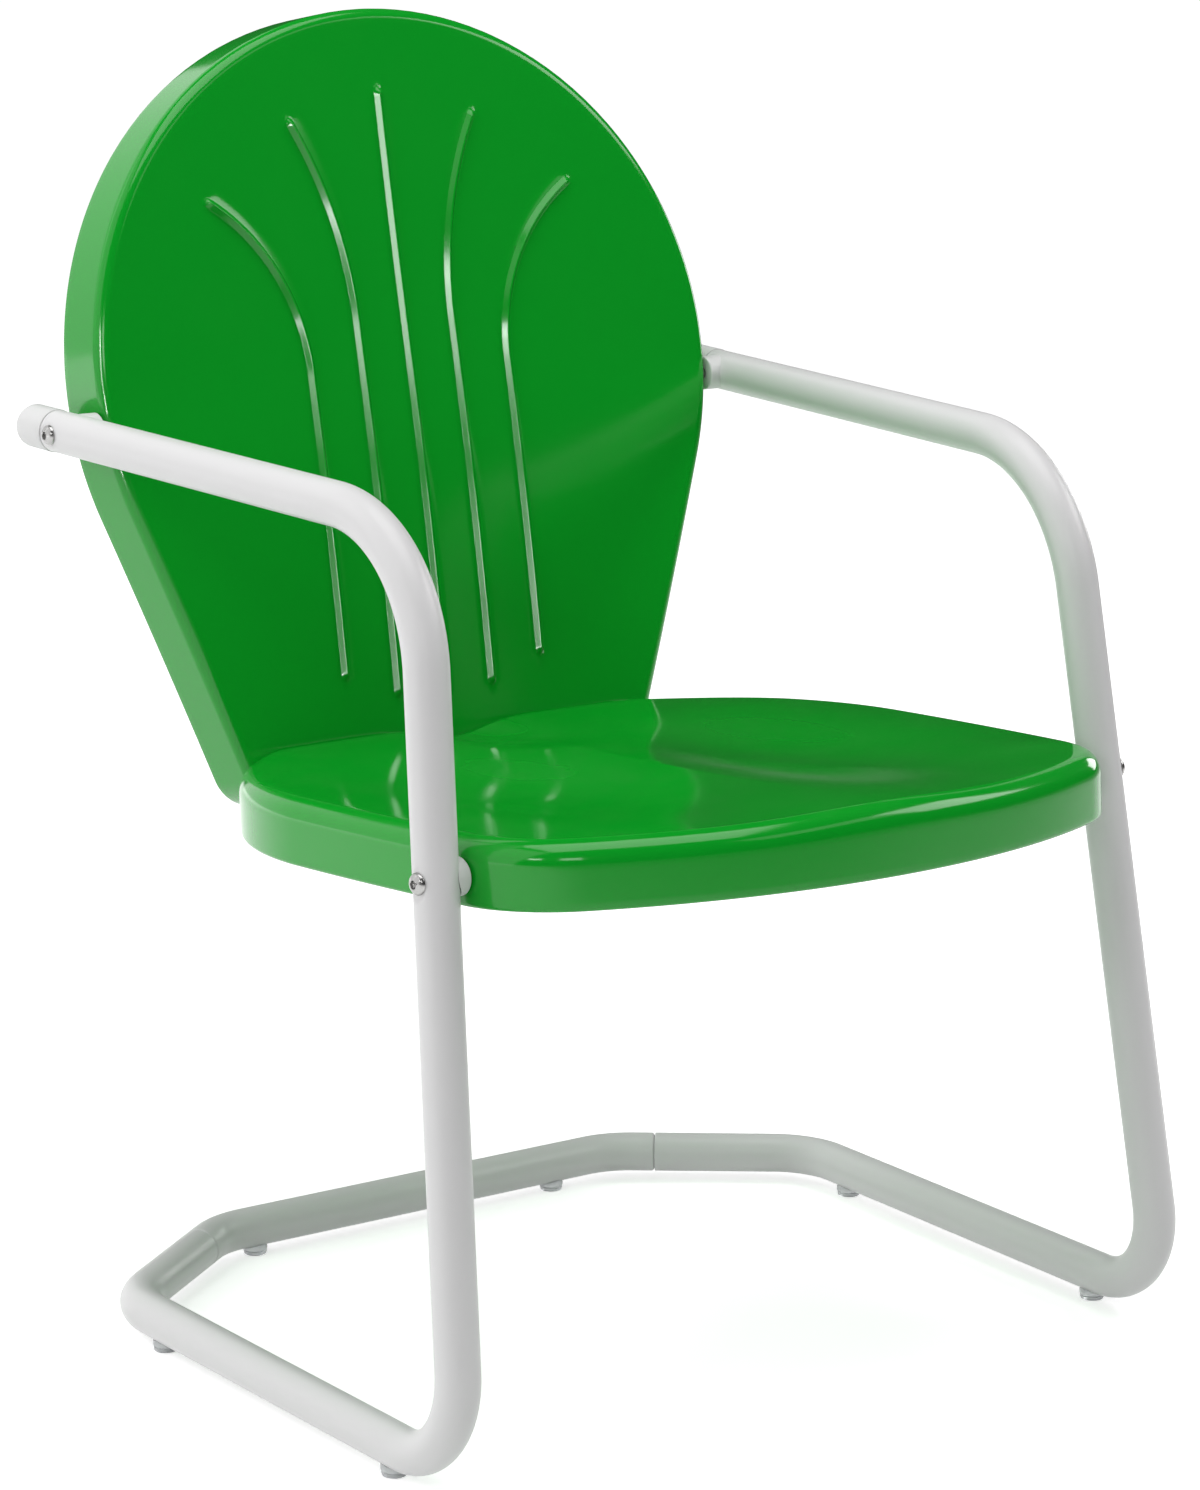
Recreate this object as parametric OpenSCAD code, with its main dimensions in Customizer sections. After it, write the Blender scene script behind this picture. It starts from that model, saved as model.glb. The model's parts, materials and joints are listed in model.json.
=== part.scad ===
// Cantilever patio chair: two bent-tube side frames and a rear floor tube carry
// a pressed sheet-steel seat pan and a round-topped pressed back pan.
// Millimetres. The floor is z = 0, the sitter faces -Y and +X is the picture's right.

/* [Frame tube] */
// Outside diameter of the steel tube
tube_d = 28.6; // [25:0.1:32]
// Wall of the steel tube
tube_wall = 1.6; // [1.2:0.1:2.2]
// Centreline radius of the bends that lie near the floor
floor_bend_r = 57; // [48:1:70]
// Centreline radius of the bend at the front of the arm
arm_bend_r = 105; // [80:1:115]
// Height of the floor tubes' centreline above the floor
rail_z = 20; // [18.5:0.5:26]

/* [Side frames] */
// Height of the arm's centreline at its rear end
arm_rear_z = 602.5; // [560:0.5:640]
// Height at which the arm's line meets the upright's line
arm_front_z = 591.5; // [550:0.5:630]
// Distance of the arm's centreline outside the back's widest edge, at its rear end
arm_rear_out = 23.8; // [20:0.2:30]
// Distance of the arm's line outside that edge, at the front
arm_front_out = 1.2; // [-2:0.2:12]
// Distance of the floor rail's line outside that edge, at the front
rail_front_out = 33.6; // [28:0.2:42]
// Distance of the floor rail's line outside that edge, at the rear
rail_rear_out = 40.2; // [32:0.2:50]
// Rear end of the arm tube, behind the middle of the chair
arm_rear_y = 237; // [230:0.5:240]
// Arm and upright lines meet this far in front of the middle
arm_front_y = 177.6; // [170:0.2:185]
// Upright and rail lines meet this far in front of the middle
rail_front_y = 263.4; // [255:0.2:280]
// Rail and corner lines meet this far behind the middle
rail_rear_y = 138; // [115:1:155]
// Sideways reach of each corner line, from the rail's line to the rear line
corner_reach = 122.6; // [105:0.2:140]
// Rear line of the floor tube, behind the middle
cross_y = 231.3; // [220:0.1:240]

/* [Tube joint] */
// Distance of the seam from the rear corner point, along the corner tube
seam_from_corner = 36; // [26:1:45]
// Length of the necked end that slides into the side frame
spigot_len = 42; // [30:1:50]
// Radius of the rounded shoulder beside the necked end
shoulder_r = 2.4; // [1:0.1:3.5]
// Gap at the seam between shoulder and side frame
seam_gap = 0.4; // [0.2:0.1:1]

/* [Seat pan] */
// Height of the seat's rim plane at its reference line
seat_z = 396; // [380:0.1:410]
// Reference line of the seat, in front of the middle of the chair
seat_y = 66; // [60:0.5:72]
// Rise of the seat towards the front, in degrees
seat_tilt = 3.4; // [2:0.1:5]
// Distance by which the seat's widest edge stands outside the back's
seat_wider = 0.5; // [-2:0.1:3]
// Place of the greatest width, behind the reference line
seat_wide_y = 46; // [30:1:60]
// Reference line to the middle of the front edge
seat_front = 257.3; // [250:0.1:275]
// Reference line to the middle of the rear edge
seat_rear = 249; // [246:0.1:252]
// Plan radius of the bowed front edge
seat_front_r = 431; // [400:1:600]
// Plan radius of the front corners
seat_corner_r = 86; // [40:1:95]
// Plan radius of the sides, ahead of the greatest width
seat_side_r = 2630; // [1500:10:4000]
// Plan radius of the sides, behind the greatest width
seat_flank_r = 251; // [240:1:300]
// Plan radius of the rear corners
seat_rear_corner_r = 56; // [30:1:70]
// Plan radius of the rear edge
seat_rear_r = 1970; // [1500:10:3000]
// Height of the seat pan, from its rim plane to its lower edge
seat_skirt = 42.8; // [40:0.1:50]
// Radius of the rolled upper edge at the front and sides
seat_roll_r = 14.5; // [12:0.5:20]
// Radius of the rolled upper edge along the rear
seat_rear_roll_r = 11; // [8:0.5:12]
// Depth of the two hollows that the sitter's legs rest in
seat_hollow = 11; // [4:0.5:16]
// Sideways place of each hollow
seat_hollow_x = 108; // [90:1:125]
// Depth of the groove at the middle of the rear edge
seat_groove = 9; // [3:0.5:12]
// Half the width of that groove
seat_groove_w = 30; // [20:1:45]
// Rise of the front edge between the sitter's legs
seat_pommel = 3.5; // [0:0.5:8]
// Fall of the rim at the middle of the rear edge
seat_rear_fall = 2; // [0:0.5:4]
// Lean of the rear skirt, so that it lies along the back pan, in degrees
seat_rear_lean = 3.4; // [3:0.1:5]

/* [Back pan] */
// Height at which the back's sizes are taken
back_z = 600; // [590:1:610]
// Front edge of the back at that height, behind the middle
back_y = 213; // [211:0.1:216]
// Lean of the back, in degrees
back_lean = 11; // [9:0.5:13]
// Radius of the round top
back_top_r = 250.2; // [245:0.1:254]
// Height of the round top's centre over the reference height, along the back
back_top_v = 30.4; // [20:0.2:45]
// Slope of the two lower edges, in degrees
back_taper = 19.9; // [17:0.1:22]
// Distance from the reference height down to the lower edge, along the back
back_drop = 262; // [258:1:270]
// Radius of the two lower corners
back_corner_r = 30; // [22:1:40]
// Radius of the rolled front edge
back_roll_r = 8.4; // [6:0.2:10]
// Depth of the flange that points to the rear
back_flange = 48.8; // [38:0.2:60]
// Outward slope of that flange, in degrees
back_draft = 2.4; // [0:0.2:4]
// Depth of the dished face below its edges, at the top
back_dish_top = 11; // [4:0.5:14]
// Depth of the dished face below its edges, at the bottom
back_dish_low = 7; // [4:0.5:8]
// Set-back of the bowed face at the bow length from the reference height
back_bow = 5.5; // [2:0.5:8]

/* [Ribs of the back] */
// Height of the raised ribs
rib_h = 2.2; // [1:0.1:4]
// Width of a rib at its foot
rib_w = 8; // [6:0.5:12]
// Width of a rib's crest
rib_crest = 2.6; // [1.5:0.1:4]
// Sideways place of the inner ribs' straight part
rib_inner_x = 39.2; // [34:0.2:46]
// Sideways place of the outer ribs' straight part
rib_outer_x = 81.3; // [74:0.2:90]
// Radius of the inner ribs' curved part
rib_inner_r = 296; // [270:1:340]
// Radius of the outer ribs' curved part
rib_outer_r = 143.5; // [130:0.5:170]

/* [Sheet] */
// Thickness of the pressed steel sheet
sheet_t = 1.2; // [0.8:0.1:1.6]
// Radius of the turned-in lower or rear edge
hem_r = 3; // [2.2:0.1:4]
// Flat width of the turned-in edge past its radius
hem_lip = 5; // [3:0.5:7]

/* [Side bolts] */
// Height of the seat bolts above the floor
seat_bolt_z = 381; // [377:0.5:384]
// Distance of the arm bolts from the arm tube's rear end
arm_bolt_inset = 12; // [11:0.5:15]
// Shank diameter of the side bolts
side_bolt_d = 8; // [6:0.5:8]
// Depth of the flat pressed in the tube under a bolt's head
flat_depth = 0.9; // [0.4:0.1:1.1]
// Diameter of the plastic spacers
spacer_d = 24.5; // [20:0.5:26]

/* [Back bolts] */
// Shank diameter of the bolts that join back and seat
back_bolt_d = 6; // [5:0.5:6]
// Spacing of the back bolts
back_bolt_pitch = 95; // [70:1:105]
// Height of the back bolts above the lower edge of the seat's rear skirt
back_bolt_up = 21; // [19.5:0.5:22]

/* [Arm caps] */
// Length of an arm cap behind the tube's end
cap_len = 36.5; // [26:0.5:42]
// Radius of the cap's rounded end
cap_edge_r = 9; // [5:0.5:12]
// Length of the plug inside the tube
cap_plug_len = 6; // [4:0.5:6]

/* [Glides] */
// Diameter of a plastic glide
glide_d = 17.6; // [15:0.2:22]
// Diameter of a glide's stem
glide_stem_d = 6; // [4:0.5:8]
// Distance of the front glides behind the upright and rail lines' meeting point
front_glide_back = 76; // [70:1:110]
// Distance of the rear glides ahead of the rail and corner lines' meeting point
rear_glide_ahead = 46; // [36:1:80]
// Distance of the left glide inside the left end of the rear line
left_glide_inset = 29.3; // [28:0.1:100]
// Distance of the right glide inside the right end of the rear line
right_glide_inset = 50.8; // [28:0.1:100]

/* [Clearances] */
// Gap between parts that rest on each other
rest_gap = 0.3; // [0.2:0.05:0.5]
// Radial gap of a bolt in the hole of a tube or sheet
hole_gap = 0.3; // [0.2:0.05:0.6]
// Radial gap of a nut on its bolt
thread_gap = 0.05; // [0.03:0.01:0.1]
// Radial gap of a plug, spigot or stem in its hole
plug_gap = 0.25; // [0.15:0.05:0.5]

/* [Hidden] */

green = [0.06, 0.52, 0.13];
white = [0.9, 0.9, 0.89];
steel = [0.7, 0.7, 0.71];
clear_grey = [0.72, 0.74, 0.75];
plastic_white = [0.93, 0.93, 0.92];

tube_r = tube_d / 2;
bore_r = tube_r - tube_wall;
bend_lap = 1;
bend_thinning = 0.03;
spigot_r = bore_r - plug_gap;

// Sideways places of the tubes and of the seat's edge, all from the back's widest edge
arm_rear_x = back_top_r + arm_rear_out;
arm_front_x = back_top_r + arm_front_out;
rail_front_x = back_top_r + rail_front_out;
rail_rear_x = back_top_r + rail_rear_out;
cross_half = rail_rear_x - corner_reach;
seat_half_w = back_top_r + seat_wider;

// Points where the straight lines of the right side frame meet, rear end of the arm first
arm_end = [arm_rear_x, arm_rear_y, arm_rear_z];
arm_corner = [arm_front_x, -arm_front_y, arm_front_z];
rail_start = [rail_front_x, -rail_front_y, rail_z];
rail_end = [rail_rear_x, rail_rear_y, rail_z];
cross_corner = [cross_half, cross_y, rail_z];
seam = cross_corner + seam_from_corner * unit(rail_end - cross_corner);

function unit(v) = v / norm(v);
function mirrored(p) = [-p.x, p.y, p.z];
function bend_turn(a, b, c) = acos(unit(b - a) * unit(c - b));
function setback(a, b, c, r) = r * tan(bend_turn(a, b, c) / 2);
function any_normal(d) = unit(cross(abs(d.z) < 0.9 * norm(d) ? [0, 0, 1] : [1, 0, 0], d));

// Places children with their own X, Y and Z along x, y and z, at o
module placed(o, x, y, z) {
    multmatrix([[x.x, y.x, z.x, o.x], [x.y, y.y, z.y, o.y], [x.z, y.z, z.z, o.z], [0, 0, 0, 1]])
        children();
}

// Round bar of radius r from a to b
module bar(a, b, r) {
    d = unit(b - a);
    x = any_normal(d);
    placed(a, x, cross(d, x), d) cylinder(r = r, h = norm(b - a), $fn = 64);
}

// Round bar of radius r bent round corner b, coming from a and leaving to c
module bent_bar(a, b, c, bend, r) {
    d = unit(b - a);
    e = unit(c - b);
    turn = bend_turn(a, b, c);
    inward = unit(e - (e * d) * d);
    start = b - setback(a, b, c, bend) * d;
    placed(start + bend * inward, -inward, d, cross(-inward, d))
        rotate_extrude(angle = turn, $fn = 96) translate([bend, 0]) circle(r = r, $fn = 64);
}

// Bar along the points, with a bend of the given radius at each inner point
// A straight part runs a little way into its bends, which are a hair thinner
module bent_run(points, bends, r) {
    last = len(points) - 1;
    for (i = [0 : last - 1]) {
        d = unit(points[i + 1] - points[i]);
        from = i == 0 ? 0 : setback(points[i - 1], points[i], points[i + 1], bends[i]) - bend_lap;
        to = i == last - 1 ? 0
             : setback(points[i], points[i + 1], points[i + 2], bends[i + 1]) - bend_lap;
        bar(points[i] + from * d, points[i + 1] - to * d, r);
    }
    for (i = [1 : last - 1])
        bent_bar(points[i - 1], points[i], points[i + 1], bends[i], r - bend_thinning);
}

// Side bolts: both pass through the tube's axis, square to the pan that they hold
function on_line(a, b, t) = a + t * (b - a);
upright_at = on_line(rail_start, arm_corner, (seat_bolt_z - rail_z) / (arm_front_z - rail_z));
arm_at = arm_end + arm_bolt_inset * unit(arm_corner - arm_end);
side_hole_r = side_bolt_d / 2 + hole_gap;
head_d = side_bolt_d * 1.75;
flat_d = head_d + 2;
washer_t = 1.6;
side_nut_h = side_bolt_d * 0.85;
side_nut_w = side_bolt_d * 1.625;
washer_d = side_bolt_d * 1.875;

// Children drawn along +X from the tube's axis, on the bolt's line through p
module on_bolt(p, turn) { translate(p) rotate([0, 0, turn]) children(); }

// Flat seat under the head and a hole through both walls
module tube_bolt_cut(p, turn) {
    on_bolt(p, turn) rotate([0, 90, 0]) {
        translate([0, 0, -2 * tube_r]) cylinder(r = side_hole_r, h = 4 * tube_r, $fn = 48);
        translate([0, 0, tube_r - flat_depth]) cylinder(d = flat_d, h = tube_r, $fn = 48);
    }
}

// Hole from the tube's axis inwards, for the pan
module pan_bolt_cut(p, turn) {
    on_bolt(p, turn) rotate([0, -90, 0]) cylinder(r = side_hole_r, h = 3 * tube_d, $fn = 48);
}

// Hole for a glide's stem in the underside of a floor tube
module glide_hole(p) {
    translate([p.x, p.y, p.z - 1.5 * tube_r])
        cylinder(r = glide_stem_d / 2 + plug_gap, h = 1.5 * tube_r, $fn = 48);
}

front_glide = rail_start + front_glide_back * unit(rail_end - rail_start);
rear_glide = rail_end - rear_glide_ahead * unit(rail_end - rail_start);
left_cross_at = [left_glide_inset - cross_half, cross_y, rail_z];
right_cross_at = [cross_half - right_glide_inset, cross_y, rail_z];

module side_frame() {
    past = 2;
    seam_end = seam + seam_gap * unit(rail_end - seam);
    line = [arm_end, arm_corner, rail_start, rail_end, seam_end];
    inner = [arm_end + past * unit(arm_end - arm_corner), arm_corner, rail_start, rail_end,
             seam_end + past * unit(seam_end - rail_end)];
    bends = [0, arm_bend_r, floor_bend_r, floor_bend_r, 0];
    difference() {
        bent_run(line, bends, tube_r);
        bent_run(inner, bends, bore_r);
        tube_bolt_cut(upright_at, seat_bolt_turn);
        tube_bolt_cut(arm_at, 0);
        glide_hole(front_glide);
        glide_hole(rear_glide);
    }
}

// Rounded shoulder and necked end of the rear floor tube, drawn along +Z from the seam
module necked_end() {
    shoulder = tube_r - bend_thinning;
    rotate_extrude($fn = 96) {
        translate([0, -shoulder_r - bend_lap]) square([shoulder, bend_lap]);
        translate([0, -shoulder_r]) square([shoulder - shoulder_r, shoulder_r]);
        intersection() {
            translate([shoulder - shoulder_r, -shoulder_r]) circle(r = shoulder_r, $fn = 48);
            translate([shoulder - shoulder_r, -shoulder_r]) square(shoulder_r);
        }
        square([spigot_r, spigot_len]);
    }
}

module at_seam(side) {
    p = side > 0 ? seam : mirrored(seam);
    d = unit((side > 0 ? rail_end : mirrored(rail_end)) - p);
    placed(p, any_normal(d), cross(d, any_normal(d)), d) children();
}

module rear_cross_tube() {
    outward = unit(rail_end - seam);
    tube_stop = seam - shoulder_r * outward;
    bore_stop = tube_stop - tube_wall * outward;
    neck_past = seam + (spigot_len + 2) * outward;
    bends = [0, floor_bend_r, floor_bend_r, 0];
    color(white) difference() {
        union() {
            bent_run([tube_stop, cross_corner, mirrored(cross_corner), mirrored(tube_stop)],
                     bends, tube_r);
            for (side = [-1, 1]) at_seam(side) necked_end();
        }
        bent_run([bore_stop, cross_corner, mirrored(cross_corner), mirrored(bore_stop)],
                 bends, bore_r);
        both_sides() bar(bore_stop - outward, neck_past, spigot_r - tube_wall);
        glide_hole(left_cross_at);
        glide_hole(right_cross_at);
    }
}

module left_side_frame() { color(white) mirror([1, 0, 0]) side_frame(); }
module right_side_frame() { color(white) side_frame(); }

// Arm cap, drawn along +Z with the tube's end at z = 0
module arm_cap() {
    steps = 10;
    edge = [for (i = [0 : steps]) let (a = 90 * i / steps)
            [tube_r - cap_edge_r + cap_edge_r * cos(a), cap_len - cap_edge_r + cap_edge_r * sin(a)]];
    rotate_extrude($fn = 96) polygon(concat([[0, rest_gap], [tube_r, rest_gap]], edge, [[0, cap_len]]));
    translate([0, 0, -cap_plug_len])
        cylinder(r = bore_r - plug_gap, h = cap_plug_len + cap_len / 2, $fn = 64);
}

module at_arm_end(side) {
    p = side > 0 ? arm_end : mirrored(arm_end);
    d = unit(p - (side > 0 ? arm_corner : mirrored(arm_corner)));
    placed(p, any_normal(d), cross(d, any_normal(d)), d) children();
}

module left_arm_cap() { color(plastic_white) at_arm_end(-1) arm_cap(); }
module right_arm_cap() { color(plastic_white) at_arm_end(1) arm_cap(); }

// Seat pan, in its own frame: rim plane at z = 0, front towards -Y
seat_steps = [6, 6, 9, 5, 9, 8];
flank_c = [seat_half_w - seat_flank_r, seat_wide_y];
side_c = [seat_half_w - seat_side_r, seat_wide_y];
rear_c = [0, seat_rear - seat_rear_r];
front_c = [0, seat_front_r - seat_front];

// Angle of the arc about c, radius r, at which a smaller arc of radius k touches it
// and also touches the arc about e, radius q, from inside
function touch_angle(c, r, e, q, k, hand) =
    let (d = c - e, m = r - k, n = q - k,
         want = (n * n - m * m - d * d) / (2 * m),
         phase = atan2(d.y, d.x), reach = norm(d))
    phase + hand * acos(want / reach);

rear_touch = touch_angle(flank_c, seat_flank_r, rear_c, seat_rear_r, seat_rear_corner_r, -1);
front_touch = touch_angle(side_c, seat_side_r, front_c, seat_front_r, seat_corner_r, 1);
function inner_centre(c, r, k, a) = c + (r - k) * [cos(a), sin(a)];
rear_corner_c = inner_centre(flank_c, seat_flank_r, seat_rear_corner_r, rear_touch);
front_corner_c = inner_centre(side_c, seat_side_r, seat_corner_r, front_touch);
rear_end_a = atan2(rear_corner_c.y - rear_c.y, rear_corner_c.x - rear_c.x);
front_end_a = atan2(front_corner_c.y - front_c.y, front_corner_c.x - front_c.x);

// Stations [x, y, outward x, outward y] along an arc, without its last point
function arc_stations(c, r, a, b, n) =
    [for (i = [0 : n - 1]) let (t = a + (b - a) * i / n)
     [c.x + r * cos(t), c.y + r * sin(t), cos(t), sin(t)]];

seat_half = concat(
    arc_stations(rear_c, seat_rear_r, 90, rear_end_a, seat_steps[0]),
    arc_stations(rear_corner_c, seat_rear_corner_r, rear_end_a, rear_touch, seat_steps[1]),
    arc_stations(flank_c, seat_flank_r, rear_touch, 0, seat_steps[2]),
    arc_stations(side_c, seat_side_r, 0, front_touch, seat_steps[3]),
    arc_stations(front_corner_c, seat_corner_r, front_touch, front_end_a, seat_steps[4]),
    arc_stations(front_c, seat_front_r, front_end_a, -90, seat_steps[5]));
front_middle = [[0, -seat_front, 0, -1]];
function flipped(s) = [-s[0], s[1], -s[2], s[3]];
seat_stations = concat(seat_half, front_middle,
                       [for (i = [len(seat_half) - 1 : -1 : 1]) flipped(seat_half[i])]);

function smooth(t) = let (c = min(1, max(0, t))) c * c * (3 - 2 * c);
function bell(t) = exp(-t * t);
// Share of the rear edge in a station: 1 where the outline faces the rear
function rear_share(s) = smooth((s[3] - 0.75) / 0.25);
function roll_at(s) = seat_roll_r + (seat_rear_roll_r - seat_roll_r) * rear_share(s);

groove_start = 90;
pommel_start = 60;
pommel_w = 75;
hollow_w = 78;
hollow_len = 150;
hollow_y = 5;
fall_start = 140;
// Groove and pommel run out over the rim, the two hollows fade before it
function rim_z(x, y) =
    seat_pommel * bell(x / pommel_w) * smooth((-y - pommel_start) / (seat_front - pommel_start))
    - seat_groove * bell(x / seat_groove_w)
      * smooth((y - groove_start) / (seat_rear - groove_start) * 1.25)
    - seat_rear_fall * smooth((y - fall_start) / (seat_rear - fall_start));
function hollow_z(x, y, f) =
    -seat_hollow * bell((abs(x) - seat_hollow_x) / hollow_w) * bell((y - hollow_y) / hollow_len)
    * (1 - pow(f, 5));

seat_rings = [0.16, 0.33, 0.5, 0.66, 0.81, 0.93];
roll_steps = 4;
hem_steps = 2;
// Profile of the pan's outside from the rolled edge down, as [inset, height]
function pan_edge(roll, drop, lean, t) = concat(
    [for (i = [0 : roll_steps]) let (a = 90 - 90 * i / roll_steps)
     [roll - (roll - t) * cos(a), -roll + (roll - t) * sin(a)]],
    [for (i = [0 : hem_steps]) let (a = -90 * i / hem_steps)
     [hem_r - (hem_r - t) * cos(a) + lean, -drop + hem_r + (hem_r - t) * sin(a)]],
    [[hem_r + hem_lip + lean, -drop + t]]);

// One skin of the seat as a list of rings: t = 0 outside, t = sheet_t inside
function seat_skin(t) = concat(
    [for (f = seat_rings) [for (s = seat_stations) let (r = roll_at(s),
        x = f * (s[0] - r * s[2]), y = f * (s[1] - r * s[3]))
        [x, y, rim_z(x, y) + hollow_z(x, y, f) - t]]],
    [for (k = [0 : roll_steps + hem_steps + 2]) [for (s = seat_stations) let (r = roll_at(s),
        p = pan_edge(r, seat_skirt, seat_skirt * tan(seat_rear_lean) * rear_share(s), t)[k],
        x = s[0] - p[0] * s[2], y = s[1] - p[0] * s[3],
        fade = smooth(1 + p[1] / (seat_skirt - hem_r)))
        [x, y, p[1] + fade * rim_z(s[0], s[1])]]]);

function flat_list(l) = [for (a = l) for (b = a) b];
function reversed(l) = [for (i = [len(l) - 1 : -1 : 0]) l[i]];

// Closed solid through rings of n points each, with a point at both ends
module ring_loft(rings, first, last) {
    n = len(rings[0]);
    m = len(rings);
    top = n * m;
    faces = concat(
        [for (i = [0 : n - 1]) [top, i, (i + 1) % n]],
        [for (k = [0 : m - 2]) for (i = [0 : n - 1])
         [k * n + i, (k + 1) * n + i, k * n + (i + 1) % n]],
        [for (k = [0 : m - 2]) for (i = [0 : n - 1])
         [k * n + (i + 1) % n, (k + 1) * n + i, (k + 1) * n + (i + 1) % n]],
        [for (i = [0 : n - 1]) [top + 1, (m - 1) * n + (i + 1) % n, (m - 1) * n + i]]);
    polyhedron(points = concat(flat_list(rings), [first, last]), faces = faces);
}

module in_seat_frame() {
    translate([0, -seat_y, seat_z]) rotate([-seat_tilt, 0, 0]) children();
}

middle_z = rim_z(0, 0) + hollow_z(0, 0, 0);

// Height of the back bolts and the place of the seat's rear face there
back_bolt_z = seat_z - (seat_rear + seat_y) * tan(seat_tilt) - seat_skirt + back_bolt_up
              + seat_y * tan(seat_tilt);
back_hole_r = back_bolt_d / 2 + hole_gap;
back_bolt_xs = [-back_bolt_pitch, 0, back_bolt_pitch];

module back_bolt_holes() {
    for (x = back_bolt_xs) translate([x, 0, back_bolt_z]) rotate([-90, 0, 0])
        cylinder(r = back_hole_r, h = 2 * arm_rear_y, $fn = 32);
}

module seat_shell() {
    color(green) difference() {
        in_seat_frame() ring_loft(concat(seat_skin(0), reversed(seat_skin(sheet_t))),
                                  [0, 0, middle_z], [0, 0, middle_z - sheet_t]);
        both_sides() pan_bolt_cut(upright_at, seat_bolt_turn);
        back_bolt_holes();
    }
}

// Back pan, in its own frame: u sideways, v up along the back, w forwards
function back_point(u, v, w) =
    [u, back_y + v * sin(back_lean) - w * cos(back_lean),
     back_z + v * cos(back_lean) + w * sin(back_lean)];

bow_length = 200;
dish_from = -200;
dish_length = 400;
taper_v = back_top_v - back_top_r * sin(back_taper);
taper_u = back_top_r * cos(back_taper);
function half_width(v) = v > taper_v ? (v > back_top_v ? back_top_r :
        sqrt(pow(back_top_r, 2) - pow(v - back_top_v, 2))) : taper_u - (taper_v - v) * tan(back_taper);
function dish_at(v) =
    back_dish_low + (back_dish_top - back_dish_low) * smooth((v - dish_from) / dish_length);
function edge_w(v) = -back_bow * pow(v / bow_length, 2);
function face_w(u, v) = edge_w(v) - dish_at(v) * max(0, 1 - pow(u / half_width(v), 2)
        - pow(max(0, v - back_top_v) / back_top_r, 2));

// Outline stations [u, v, outward u, outward v] of the right half, lower middle first
low_v = -back_drop;
low_corner = let (r = back_corner_r, v = low_v + r,
        u = taper_u - (taper_v - v) * tan(back_taper) - r / cos(back_taper)) [u, v];
side_start = low_corner + back_corner_r * [cos(back_taper), -sin(back_taper)];

// Ribs: straight up from the foot, then an arc that turns outwards
rib_foot = [-207, -202, -185.6];
rib_bend_v = [0, 62, 30];
rib_turn = [0, 29.2, 59];
rib_top = 226;
rib_xs = [0, rib_inner_x, rib_outer_x];
rib_rs = [1, rib_inner_r, rib_outer_r];
function rib_len(k) = k == 0 ? rib_top - rib_foot[0] :
        rib_bend_v[k] - rib_foot[k] + rib_rs[k] * rib_turn[k] * PI / 180;
// Place and heading (degrees from upright) of rib k at the share t of its length
function rib_at(k, t) = let (s = t * rib_len(k), straight = k == 0 ? 1000 : rib_bend_v[k] - rib_foot[k],
        a = s <= straight ? 0 : (s - straight) / rib_rs[k] * 180 / PI)
    s <= straight ? [rib_xs[k], rib_foot[k] + s, 0] :
    [rib_xs[k] + rib_rs[k] * (1 - cos(a)), rib_bend_v[k] + rib_rs[k] * sin(a), a];

// Rows of the face: lower edge, feet of the ribs, along the ribs, their tops, upper edge
rib_shares = [0, 0.014, 0.12, 0.24, 0.36, 0.46, 0.54, 0.61, 0.67, 0.73, 0.79, 0.85, 0.92, 0.986, 1];
low_rows = [0, 0.5];
top_rows = [0.35, 0.7, 1];
edge_r = back_top_r - back_roll_r;
function on_top_edge(p) = let (d = [p.x, p.y - back_top_v]) [0, back_top_v] + edge_r * unit(d);
// Line of rib k in row coordinates: below the foot, on the rib and above its top
function rib_line(k, row) =
    row < len(low_rows) ? let (f = rib_at(k, 0), t = low_rows[row])
        [f.x, (low_v + back_roll_r) * (1 - t) + f.y * t, 0] :
    row < len(low_rows) + len(rib_shares) ? rib_at(k, rib_shares[row - len(low_rows)]) :
    let (f = rib_at(k, 1), e = on_top_edge([f.x, f.y]),
         t = top_rows[row - len(low_rows) - len(rib_shares)])
        [f.x * (1 - t) + e.x * t, f.y * (1 - t) + e.y * t, f.z];
row_count = len(low_rows) + len(rib_shares) + len(top_rows);

// The right edge of the face runs from the lower corner to this angle of the round top
split_a = 26;
corner_mid_a = (-90 - back_taper) / 2;
corner_share = 0.16;
taper_share = 0.3;
function edge_station(t) =
    t < corner_share ? let (a = corner_mid_a + (-back_taper - corner_mid_a) * t / corner_share)
        [low_corner.x, low_corner.y, back_corner_r, a] :
    t < taper_share ? let (q = (t - corner_share) / (taper_share - corner_share),
        p = side_start + q * ([taper_u, taper_v] - side_start))
        [p.x - back_corner_r * cos(back_taper), p.y + back_corner_r * sin(back_taper),
         back_corner_r, -back_taper] :
    let (a = -back_taper + (split_a + back_taper) * (t - taper_share) / (1 - taper_share))
        [0, back_top_v, back_top_r, a];
function station_out(s, inset) = [s[0] + (s[2] - inset) * cos(s[3]), s[1] + (s[2] - inset) * sin(s[3])];
function edge_share(row) = row / (row_count - 1);

// Lower edge: stations between the middles of the two lower corners
function low_station(u) = let (flat_u = low_corner.x, top_u = station_out(edge_station(0), back_roll_r).x)
    abs(u) <= flat_u ? [u, low_v + back_corner_r, back_corner_r, -90] :
    let (k = (abs(u) - flat_u) / (top_u - flat_u), a = -90 + (corner_mid_a + 90) * k)
        [sign(u) * low_corner.x, low_corner.y, back_corner_r, u > 0 ? a : -180 - a];

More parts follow.
